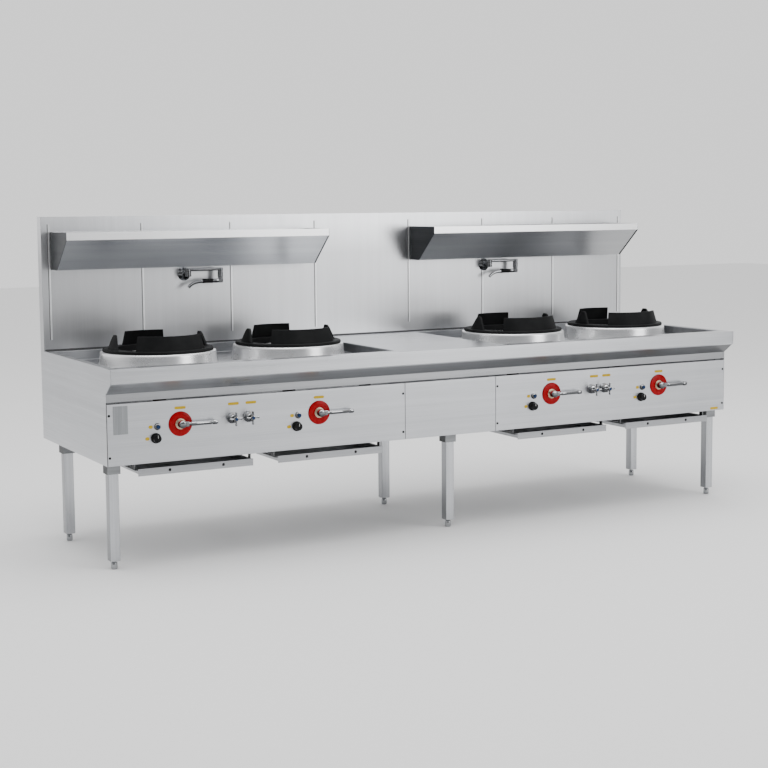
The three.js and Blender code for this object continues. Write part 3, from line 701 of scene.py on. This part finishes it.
for node, (x0, x1) in panel_ends.items():
    sheet = cube(f"{node}_sheet", (x0, front_plane, panel_low), (x1, panel_back, panel_top))
    edit(sheet)
    pick(sheet, "faces", lambda at, way: way.y > 0.9)
    bpy.ops.mesh.delete(type="FACE")
    leave()
    modify(sheet, "SOLIDIFY", thickness=panel_sheet, offset=-1.0)
    round_edges(sheet, 0.0012, segments=3)
    fitted(sheet, panel_steel, "casing", node)
low = (corner_ends[0], front_plane - joint_high, panel_low + 0.001)
high = (corner_ends[1], front_plane + sunk, band_low)
corner_line = cube("corner_line", low, high)
round_edges(corner_line, 0.0003)
fitted(corner_line, seam_painted_shadow, "casing", slot="black_plastic")

bonnet = turned("bonnet", bonnet_profile, sides=40)
for n, x in enumerate(tap_places, 1):
    fitted(on_panel(bonnet, f"tap_bonnet_{n}", x, tap_high), chrome, "casing", panel_of(x))
nut = turned("nut", igniter_nut_profile, sides=32, closed=True)
for n, x in enumerate(valve_places, 1):
    piece = on_panel(nut, f"igniter_nut_{n}", x - igniter_left, igniter_high)
    fitted(piece, chrome, "casing", panel_of(x))
put_away(bonnet, nut)

# ---------------------------------------------------------------- screws, labels and plate
# Dark socket-head screws hold the panel ends. Bare yellow vinyl stickers mark the controls, and a
# plain aluminium plate is stuck on at the left end.
screw_profile = [
    (0.0000, 0.0026),
    (0.0030, 0.0025),
    (0.0044, 0.0019),
    (0.0050, 0.0008),
    (0.0050, -0.0010),
    (0.0000, -0.0010),
]
socket_radius, socket_deep = 0.0028, 0.0012
screw_columns = [-1.489, -0.226, 0.238, 1.489]
screw_rows = [0.600, 0.440]
sticker_thick = 0.0004
long_sticker, small_sticker = (0.046, 0.011), (0.017, 0.013)
label_high, tap_labels, corner_label = 0.612, (-0.985, -0.911, 0.748, 0.816), (1.441, 0.419)
igniter_label_left, knob_label_left, knob_label_high = 0.120, 0.134, 0.502
long_places = [(x, label_high) for x in (*valve_places, *tap_labels)] + [corner_label]
small_places = [(x - igniter_label_left, igniter_high) for x in valve_places]
small_places += [(x - knob_label_left, knob_label_high) for x in valve_places]
plate_size, plate_thick = (0.058, 0.108), 0.0006
plate_x, plate_z = -1.4445, 0.5805

black_steel, black_shader, black_place = new_finish("blackened_steel", Metallic=0.9)
black_wear = black_place.noise(300.0, 3.0)
black_tone = black_wear.ramp(0.4, 0.75).blend((0.015, 0.015, 0.016), (0.07, 0.07, 0.073))
plug(black_shader, Base_Color=black_tone, Roughness=0.3 + black_wear * 0.25)

yellow, yellow_shader, yellow_place = new_finish("yellow_vinyl", Specular_IOR_Level=0.15)
yellow_fade = yellow_place.noise(140.0, 3.0)
yellow_tone = yellow_fade.blend((0.46, 0.29, 0.008), (0.62, 0.43, 0.02))
plug(yellow_shader, Base_Color=yellow_tone, Roughness=0.35 + yellow_fade * 0.2)

plate_metal = brushed_steel("plate_metal", (700.0, 700.0, 8.0), (0.22, 0.23, 0.24), (0.34, 0.35, 0.36), 0.42)


def sticker(name, size, thick, corner):
    """A thin plate with round corners, lying against the front panels."""
    wide, high = size
    piece = cube(name, (-wide / 2, -thick, -high / 2), (wide / 2, 0.0, high / 2))
    edit(piece)
    pick(piece, "edges", lambda at, way: abs(way.y) > 0.9)
    bpy.ops.mesh.bevel(offset=min(size) * corner, segments=4, affect="EDGES")
    leave()
    piece.data.shade_flat()
    return piece


screw = turned("screw", screw_profile, sides=18)
edit(screw)
pick(screw, "faces", lambda at, way: way.z > 0.95 and at.xy.length < socket_radius)
pull(z=-socket_deep)
leave()
for n, (x, z) in enumerate(((x, z) for x in screw_columns for z in screw_rows), 1):
    fitted(on_panel(screw, f"panel_screw_{n}", x, z), black_steel, "casing", slot="black_plastic")
for size, places, word in ((long_sticker, long_places, "long"), (small_sticker, small_places, "small")):
    model = sticker("sticker", size, sticker_thick, corner=0.45)
    for n, (x, z) in enumerate(places, 1):
        piece = on_panel(model, f"{word}_sticker_{n}", x, z, upright)
        fitted(piece, yellow, "casing", slot="red_enamel")
    put_away(model)
put_away(screw)
plate = sticker("bare_plate", plate_size, plate_thick, corner=0.04)
piece = on_panel(plate, "bare_end_plate", plate_x, plate_z, upright)
fitted(piece, plate_metal, "casing", slot="frame_steel")
put_away(plate)

# ---------------------------------------------------------------- collars
# Spun rings of polished stainless that stand on the well floor round each flue hole.
# The top edge is rolled over, and the spinning leaves fine rings round the skirt.
collar_foot = 0.7403
collar_profile = [
    (0.2420, 0.0000),
    (0.2405, 0.0030),
    (0.2375, 0.0160),
    (0.2345, 0.0330),
    (0.2338, 0.0480),
    (0.2332, 0.0550),
    (0.2312, 0.0583),
    (0.2280, 0.0597),
    (0.1890, 0.0597),
    (0.1868, 0.0590),
    (0.1860, 0.0575),
    (0.1860, 0.0000),
    (0.1890, 0.0000),
    (0.1890, 0.0560),
    (0.2275, 0.0560),
    (0.2302, 0.0540),
    (0.2315, 0.0330),
    (0.2390, 0.0000),
]

spun, spun_shader, spun_place = new_finish("spun_stainless", Metallic=0.75)
pair_middle = (burner_columns[3] + burner_columns[2]) / 2
pair_apart = (burner_columns[3] - burner_columns[2]) / 2
spun_x = abs(abs(spun_place.part(0)) - pair_middle) - pair_apart
spun_y = spun_place.part(1) - burner_row
spun_radius = (spun_x * spun_x + spun_y * spun_y) ** 0.5
ring_sockets = {"X": spun_radius * 700.0, "Y": spun_place.part(2) * 900.0, "Z": spun_x * 4.0}
ring_place = spun_place.node("ShaderNodeCombineXYZ", ring_sockets)
ring_line = ring_place.noise(1.0, 1.0)
ring_cloud = spun_place.noise(7.0, 4.0)
spun_tone = ring_line.ramp(0.3, 0.7).blend((0.84, 0.85, 0.86), (0.97, 0.97, 0.98))
spun_bump = ring_line.bump(0.05, 0.0002)
plug(spun_shader, Base_Color=spun_tone, Roughness=0.22 + ring_cloud * 0.12, Normal=spun_bump)

collar = turned("collar", collar_profile, sides=128, closed=True)
for n, (x, y) in enumerate(burner_places, 1):
    fitted(placed(collar, f"spun_collar_{n}", (x, y, collar_foot)), spun, "casing", f"collar_{n}")
put_away(collar)

# ---------------------------------------------------------------- wok rings
# Loose iron castings, blackened, that drop into the collars: a flange with a tall broken wall.
# The wall is highest in front and behind, with a pointed lug at each side for the wok to rest on.
ring_foot = 0.8003
flange_profile = [
    (0.1710, -0.0140),
    (0.1830, -0.0140),
    (0.1840, -0.0125),
    (0.1840, 0.0000),
    (0.2205, 0.0000),
    (0.2228, 0.0012),
    (0.2235, 0.0035),
    (0.2228, 0.0085),
    (0.2205, 0.0117),
    (0.1725, 0.0117),
    (0.1710, 0.0100),
]
wall_profile = [(0.1925, 0.0100), (0.2015, 0.0100), (0.1845, 0.0687), (0.1755, 0.0687)]
front_half_angle, back_half_angle = math.radians(46.0), math.radians(27.0)
lug_foot, lug_tip = 0.052, 0.014
wall_low, wall_top = 0.0117, 0.0687
tip_sink, tip_lean = 0.004, 1.4
centre = (0.0, 0.0, 0.0)

iron, iron_shader, iron_place = new_finish("blackened_iron", Metallic=0.1, Specular_IOR_Level=0.14)
iron_grain = iron_place.noise(380.0, 3.0)
iron_cloud = iron_place.noise(14.0, 5.0)
iron_pit = iron_place.node("ShaderNodeTexVoronoi", {"Vector": iron_place, "Scale": 260.0})
iron_tone = iron_cloud.ramp(0.35, 0.75).blend((0.005, 0.0055, 0.006), (0.014, 0.0145, 0.015))
iron_skin = iron_grain * 0.6 + iron_pit * 0.4
iron_bump = iron_skin.bump(0.45, 0.0008)
plug(iron_shader, Base_Color=iron_tone, Roughness=0.5 + iron_cloud * 0.25, Normal=iron_bump)


def slice_of_wall(name, cuts):
    """A length of the ring's wall, kept between planes and closed where they cut it."""
    piece = turned(name, wall_profile, sides=144, closed=True)
    edit(piece)
    score(*cuts, use_fill=True, clear_outer=True)
    leave()
    return piece


def fan(half_angle, way):
    """Two planes through the ring's middle that keep a slice towards -Y or +Y."""
    across = math.cos(half_angle)
    along = math.sin(half_angle) * way
    return [(centre, (across, along, 0.0)), (centre, (-across, along, 0.0))]


def lug_cuts(hand):
    """Planes that leave a pointed lug of the wall on the +X or -X side."""
    lean = (lug_foot - lug_tip) / (wall_top - wall_low)
    sides = [((0.0, s * lug_foot, wall_low), (0.0, s, lean)) for s in (-1, 1)]
    tips = [((0.0, s * lug_tip, wall_top - tip_sink), (0.0, s, tip_lean)) for s in (-1, 1)]
    return [(centre, (-hand, 0.0, 0.0)), *sides, *tips]


def joined(name, *parts):
    """Makes one piece of several."""
    first = parts[0]
    alone(first)
    for part in parts:
        part.select_set(True)
    bpy.ops.object.join()
    first.name = first.data.name = name
    return first


ring = joined(
    "ring",
    turned("flange", flange_profile, sides=144, closed=True),
    slice_of_wall("front_wall", fan(front_half_angle, 1.0)),
    slice_of_wall("back_wall", fan(back_half_angle, -1.0)),
    slice_of_wall("left_lug", lug_cuts(-1.0)),
    slice_of_wall("right_lug", lug_cuts(1.0)),
)
modify(ring, "BEVEL", width=0.0016, segments=2, limit_method="ANGLE", angle_limit=math.radians(40.0))
smooth_curves(ring)
for n, (x, y) in enumerate(burner_places, 1):
    fitted(placed(ring, f"iron_ring_{n}", (x, y, ring_foot)), iron, f"ring_{n}", f"wok_ring_{n}")
put_away(ring)

# ---------------------------------------------------------------- drip trays
# Shallow stainless pans on two side lips; each slides out towards the cook on its runners.
# The front flange has two drilled holes, and a long strip along its top to pull it by.
# The deck steel's painted shade also darkens the trays, as they lie below the band.
coat(deck_steel, "drip_tray_1", "drip_tray_2", "drip_tray_3", "drip_tray_4")

# ---------------------------------------------------------------- valve bezels
# Pressed steel discs in red gloss enamel, held flat on the panel by a bronze washer and sleeve.
# The fired enamel is glossy, with slight clouds in its colour and a faintly uneven skin.
bezel_profile = [
    (0.0190, 0.0003),
    (0.0480, 0.0003),
    (0.0480, 0.0020),
    (0.0474, 0.0031),
    (0.0455, 0.0039),
    (0.0225, 0.0040),
    (0.0205, 0.0036),
    (0.0190, 0.0026),
]
washer_profile = [
    (0.0154, 0.0041),
    (0.0212, 0.0041),
    (0.0212, 0.0050),
    (0.0205, 0.0057),
    (0.0172, 0.0058),
    (0.0166, 0.0062),
    (0.0166, 0.0088),
    (0.0162, 0.0091),
    (0.0154, 0.0091),
]
red_gloss = {"Coat_Weight": 0.05, "Coat_Roughness": 0.1, "Specular_IOR_Level": 0.08}
red, red_shader, red_place = new_finish("gloss_red_enamel", **red_gloss)
red_cloud = red_place.noise(60.0, 4.0)
red_peel = red_place.noise(420.0, 1.0)
red_tone = red_cloud.ramp(0.3, 0.7).blend((0.26, 0.0, 0.003), (0.35, 0.001, 0.005))
red_bump = red_peel.bump(0.08, 0.0004)
plug(red_shader, Base_Color=red_tone, Roughness=0.22 + red_cloud * 0.1, Normal=red_bump)

bronze, bronze_shader, bronze_place = new_finish("bronze", Metallic=1.0)
bronze_spot = bronze_place.noise(180.0, 4.0)
bronze_tone = bronze_spot.ramp(0.35, 0.7).blend((0.34, 0.26, 0.17), (0.66, 0.56, 0.42))
plug(bronze_shader, Base_Color=bronze_tone, Roughness=0.22 + bronze_spot * 0.3)

bezel = turned("bezel", bezel_profile, sides=72, closed=True)
washer = turned("washer", washer_profile, sides=40, closed=True)
for n, x in enumerate(valve_places, 1):
    fitted(on_panel(bezel, f"red_bezel_{n}", x, valve_high), red, "casing", f"valve_bezel_{n}")
    fitted(on_panel(washer, f"bronze_washer_{n}", x, valve_high), bronze, "casing", slot="frame_steel")
put_away(bezel, washer)

# ---------------------------------------------------------------- valve levers
# A turned hub on the valve's spindle with a polished bar screwed into a cheek on its side.
# The bar swells after the cheek and ends in a collar with a small pin standing out of it.
lever_out = 0.0218
pin_at = 0.130
cheek_ends, half_wide, half_high = (0.004, 0.026), 0.0078, 0.0098
sideways = (0.0, math.pi / 2, 0.0)
hub_profile = [
    (0.0000, 0.0093),
    (0.0140, 0.0093),
    (0.0150, 0.0103),
    (0.0150, 0.0292),
    (0.0140, 0.0312),
    (0.0118, 0.0338),
    (0.0100, 0.0343),
    (0.0000, 0.0343),
]
bar_profile = [
    (0.0000, 0.0100),
    (0.0072, 0.0100),
    (0.0072, 0.0300),
    (0.0062, 0.0310),
    (0.0062, 0.0345),
    (0.0083, 0.0370),
    (0.0085, 0.0420),
    (0.0082, 0.1190),
    (0.0068, 0.1215),
    (0.0068, 0.1235),
    (0.0092, 0.1255),
    (0.0096, 0.1280),
    (0.0096, 0.1390),
    (0.0085, 0.1430),
    (0.0060, 0.1448),
    (0.0000, 0.1450),
]
pin_profile = [(0.0, 0.006), (0.003, 0.006), (0.003, 0.0105), (0.0022, 0.0115), (0.0, 0.0115)]

hub = turned("hub", hub_profile, sides=32)
rod = turned("rod", bar_profile, sides=28)
pin = turned("pin", pin_profile, sides=14)
low, high = (cheek_ends[0], -half_wide, -half_high), (cheek_ends[1], half_wide, half_high)
cheek = cube("cheek", low, high)
round_edges(cheek, 0.0022, segments=3)
for n, x in enumerate(valve_places, 1):
    spot = (x, front_plane, valve_high)
    middle = (x, front_plane - lever_out, valve_high)
    parts = [
        placed(hub, "lever_hub", spot, outward),
        placed(rod, "lever_rod", middle, sideways),
        placed(pin, "lever_pin", (x + pin_at, middle[1], valve_high)),
        placed(cheek, "lever_cheek", middle),
    ]
    fitted(joined(f"lever_bar_{n}", *parts), chrome, f"lever_{n}", f"valve_lever_{n}")
put_away(hub, rod, pin, cheek)

# ---------------------------------------------------------------- pilot knobs
# Black moulded knobs on the pilot valves: a skirt, a fluted waist and a raised bar to turn them by.
# A plain white line along the bar shows which way the knob points.
knob_left, knob_high = 0.100, 0.502
knob_sides, flute_every = 48, 3
waist_low, waist_top, flute_scale = 0.011, 0.0205, (0.94, 0.94, 1.0)
ridge_half, ridge_low, ridge_top = (0.0034, 0.0148), 0.0200, 0.0268
ridge_scale = (0.62, 0.92, 1.0)
mark_low, mark_high = (-0.0007, 0.0020, 0.0264), (0.0007, 0.0130, 0.0270)
knob_profile = [
    (0.0000, 0.0003),
    (0.0200, 0.0003),
    (0.0200, 0.0045),
    (0.0194, 0.0062),
    (0.0174, 0.0078),
    (0.0166, 0.0110),
    (0.0160, 0.0205),
    (0.0150, 0.0230),
    (0.0130, 0.0240),
    (0.0000, 0.0240),
]
black, mould_shader, mould_place = new_finish("moulded_black", Specular_IOR_Level=0.12)
mould_skin = mould_place.noise(700.0).bump(0.2, 0.0003)
mould_wear = mould_place.noise(90.0)
mould_tone = mould_wear.blend((0.004, 0.004, 0.0045), (0.011, 0.011, 0.012))
plug(mould_shader, Base_Color=mould_tone, Roughness=0.28 + mould_wear * 0.2, Normal=mould_skin)
white, white_shader, white_place = new_finish("white_mark", Roughness=0.5)
white_dust = white_place.noise(400.0)
plug(white_shader, Base_Color=white_dust.blend((0.62, 0.62, 0.60), (0.80, 0.80, 0.78)))


def in_flute(at, way):
    """True for every third strip of the knob's waist, which is pressed in as a flute."""
    strip = round(math.atan2(at.y, at.x) / math.tau * knob_sides)
    return waist_low < at.z < waist_top and strip % flute_every == 0


knob = turned("knob", knob_profile, sides=knob_sides)
edit(knob)
pick(knob, "faces", in_flute)
bpy.ops.transform.resize(value=flute_scale, center_override=(0.0, 0.0, waist_low))
leave()
low, high = (-ridge_half[0], -ridge_half[1], ridge_low), (*ridge_half, ridge_top)
ridge = cube("ridge", low, high)
edit(ridge)
pick(ridge, "faces", lambda at, way: way.z > 0.9)
bpy.ops.transform.resize(value=ridge_scale, center_override=(0.0, 0.0, ridge_top))
leave()
round_edges(ridge, 0.0008, segments=3)
mark = cube("mark", mark_low, mark_high)
round_edges(mark, 0.0002)
for n, x in enumerate(valve_places, 1):
    at_x = x - knob_left
    parts = [on_panel(knob, "knob_body", at_x, knob_high), on_panel(ridge, "knob_ridge", at_x, knob_high)]
    fitted(joined(f"black_knob_{n}", *parts), black, f"knob_{n}", f"pilot_knob_{n}")
    fitted(on_panel(mark, f"knob_mark_{n}", at_x, knob_high), white, f"knob_{n}", slot="black_plastic")
put_away(knob, ridge, mark)

# ---------------------------------------------------------------- igniter buttons
# Blue moulded push buttons that slide in the chromed nuts and spring back after the spark.
# The face is dished for a fingertip and polished by use.
button_profile = [
    (0.0000, 0.0146),
    (0.0035, 0.0148),
    (0.0050, 0.0156),
    (0.0058, 0.0160),
    (0.0066, 0.0155),
    (0.0070, 0.0145),
    (0.0070, -0.0120),
    (0.0000, -0.0120),
]
blue_gloss = {"Coat_Weight": 0.05, "Coat_Roughness": 0.15, "Specular_IOR_Level": 0.15}
blue, blue_shader, blue_place = new_finish("moulded_blue", **blue_gloss)
blue_cloud = blue_place.noise(220.0, 3.0)
blue_tone = blue_cloud.blend((0.003, 0.016, 0.06), (0.008, 0.036, 0.12))
plug(blue_shader, Base_Color=blue_tone, Roughness=0.25 + blue_cloud * 0.2)
button = turned("button", button_profile, sides=28)
for n, x in enumerate(valve_places, 1):
    piece = on_panel(button, f"blue_button_{n}", x - igniter_left, igniter_high)
    fitted(piece, blue, f"igniter_{n}", f"igniter_button_{n}")
put_away(button)

# ---------------------------------------------------------------- tap handles
# Chromed cross handles on the water taps: four slim arms with round ends on a turned hub.
# A plain blue disc is pressed into the middle of each, for cold water.
cross_out = 0.0428
handle_profile = [
    (0.0000, 0.0280),
    (0.0048, 0.0280),
    (0.0048, 0.0312),
    (0.0075, 0.0325),
    (0.0090, 0.0345),
    (0.0090, 0.0470),
    (0.0080, 0.0492),
    (0.0062, 0.0496),
    (0.0058, 0.0488),
    (0.0000, 0.0488),
]
arm_profile = [
    (0.0000, 0.0060),
    (0.0031, 0.0060),
    (0.0031, 0.0180),
    (0.0040, 0.0215),
    (0.0044, 0.0240),
    (0.0040, 0.0260),
    (0.0026, 0.0272),
    (0.0000, 0.0274),
]
disc_profile = [(0.0, 0.0496), (0.0040, 0.0495), (0.0057, 0.0490), (0.0057, 0.0480), (0.0, 0.0480)]
handle = turned("handle", handle_profile, sides=32)
arm = turned("arm", arm_profile, sides=16)
disc = turned("disc", disc_profile, sides=24)
for n, x in enumerate(tap_places, 1):
    middle = (x, front_plane - cross_out, tap_high)
    parts = [on_panel(handle, "tap_hub", x, tap_high)]
    for quarter in range(4):
        parts.append(placed(arm, "tap_arm", middle, (0.0, quarter * math.pi / 2, 0.0)))
    fitted(joined(f"cross_handle_{n}", *parts), chrome, f"tap_{n}", f"tap_handle_{n}")
    fitted(on_panel(disc, f"tap_disc_{n}", x, tap_high), blue, f"tap_{n}", slot="blue_plastic")
put_away(handle, arm, disc)

# ---------------------------------------------------------------- folding faucets
# Chromed brass faucets on the splashback. A rose and a short pipe carry the pivot, the arm swings
# on it, and the spout swings under the far end of the arm, with a black grip to move it by.
faucet_places = {"left": -0.872, "right": 0.672}
faucet_high, faucet_out, faucet_reach = 1.086, 0.050, 0.150
pivot_y = splash_front - faucet_out
arm_lift, spout_drop = 0.0183, 0.032
faucet_profiles = {
    "rose": [
        (0.0000, 0.0003),
        (0.0300, 0.0003),
        (0.0300, 0.0018),
        (0.0288, 0.0034),
        (0.0240, 0.0060),
        (0.0180, 0.0088),
        (0.0112, 0.0104),
        (0.0092, 0.0130),
        (0.0088, 0.0160),
        (0.0088, 0.0500),
        (0.0000, 0.0500),
    ],
    "pivot": [
        (0.0000, -0.0110),
        (0.0120, -0.0110),
        (0.0140, -0.0095),
        (0.0140, -0.0030),
        (0.0128, -0.0020),
        (0.0128, 0.0020),
        (0.0140, 0.0030),
        (0.0140, 0.0100),
        (0.0130, 0.0110),
        (0.0000, 0.0110),
    ],
    "eye": [
        (0.0000, 0.0113),
        (0.0130, 0.0113),
        (0.0140, 0.0123),
        (0.0140, 0.0225),
        (0.0125, 0.0243),
        (0.0085, 0.0253),
        (0.0000, 0.0253),
    ],
    "elbow": [
        (0.0000, -0.0055),
        (0.0110, -0.0055),
        (0.0120, -0.0045),
        (0.0120, 0.0060),
        (0.0105, 0.0075),
        (0.0105, 0.0110),
        (0.0120, 0.0120),
        (0.0120, 0.0225),
        (0.0100, 0.0248),
        (0.0000, 0.0253),
    ],
    "swivel": [
        (0.0000, -0.0410),
        (0.0090, -0.0408),
        (0.0118, -0.0385),
        (0.0120, -0.0240),
        (0.0105, -0.0225),
        (0.0105, -0.0150),
        (0.0120, -0.0140),
        (0.0120, -0.0068),
        (0.0112, -0.0058),
        (0.0000, -0.0058),
    ],
    "upper_tube": [(0.0, 0.012), (0.0065, 0.012), (0.0065, 0.142), (0.0, 0.142)],
    "spout_nut": [
        (0.0000, 0.1180),
        (0.0088, 0.1180),
        (0.0094, 0.1190),
        (0.0094, 0.1370),
        (0.0086, 0.1400),
        (0.0000, 0.1400),
    ],
    "grip": [
        (0.0000, 0.0660),
        (0.0085, 0.0660),
        (0.0098, 0.0675),
        (0.0100, 0.0700),
        (0.0092, 0.0800),
        (0.0092, 0.1000),
        (0.0100, 0.1110),
        (0.0096, 0.1135),
        (0.0085, 0.1140),
        (0.0000, 0.1140),
    ],
}
spout_route = [(0.145, 0.0), (0.062, 0.0), (0.030, -0.0045), (0.010, -0.0150), (0.001, -0.0262)]
spout_radius = 0.0068


def bent_tube(name, route, radius):
    """A tube bent along points in its X-Z plane, as a curve that is then made a mesh."""
    deselect()
    bpy.ops.curve.primitive_nurbs_path_add(location=(0.0, 0.0, 0.0))
    line = bpy.context.object
    line.data.splines.clear()
    spline = line.data.splines.new("NURBS")
    spline.points.add(len(route) - 1)
    for point, (x, z) in zip(spline.points, route):
        point.co = (x, 0.0, z, 1.0)
    spline.order_u = 4
    spline.use_endpoint_u = True
    spline.resolution_u = 10
    line.data.bevel_depth = radius
    line.data.bevel_resolution = 6
    line.data.use_fill_caps = True
    alone(line)
    bpy.ops.object.convert(target="MESH")
    piece = settled(bpy.context.object, name)
    edit(piece)
    return sealed(piece, 1e-5)


forms = {word: turned(word, profile, sides=32) for word, profile in faucet_profiles.items()}
forms["spout_tube"] = bent_tube("spout_tube", spout_route, spout_radius)
for hand, x in faucet_places.items():
    pivot = (x, pivot_y, faucet_high)
    far = (x + faucet_reach, pivot_y, faucet_high)
    arm_place = (x, pivot_y, faucet_high + arm_lift)
    spout_place = (x, pivot_y, faucet_high - spout_drop)
    body = joined(
        f"faucet_mount_{hand}",
        placed(forms["rose"], "rose", (x, splash_front, faucet_high), outward),
        placed(forms["pivot"], "pivot", pivot),
    )
    fitted(body, chrome, "casing", f"faucet_body_{hand}")
    arm_piece = joined(
        f"upper_arm_{hand}",
        placed(forms["eye"], "eye", pivot),
        placed(forms["upper_tube"], "upper_tube", arm_place, sideways),
        placed(forms["elbow"], "elbow", far),
    )
    fitted(arm_piece, chrome, f"arm_{hand}", f"faucet_arm_{hand}")
    spout = joined(
        f"swing_spout_{hand}",
        placed(forms["swivel"], "swivel", far),
        placed(forms["spout_nut"], "spout_nut", spout_place, sideways),
        placed(forms["spout_tube"], "spout_tube", spout_place),
    )
    fitted(spout, chrome, f"spout_{hand}", f"faucet_spout_{hand}")
    grip = placed(forms["grip"], f"spout_grip_{hand}", spout_place, sideways)
    fitted(grip, black, f"spout_{hand}", f"faucet_spout_{hand}")
put_away(*forms.values())
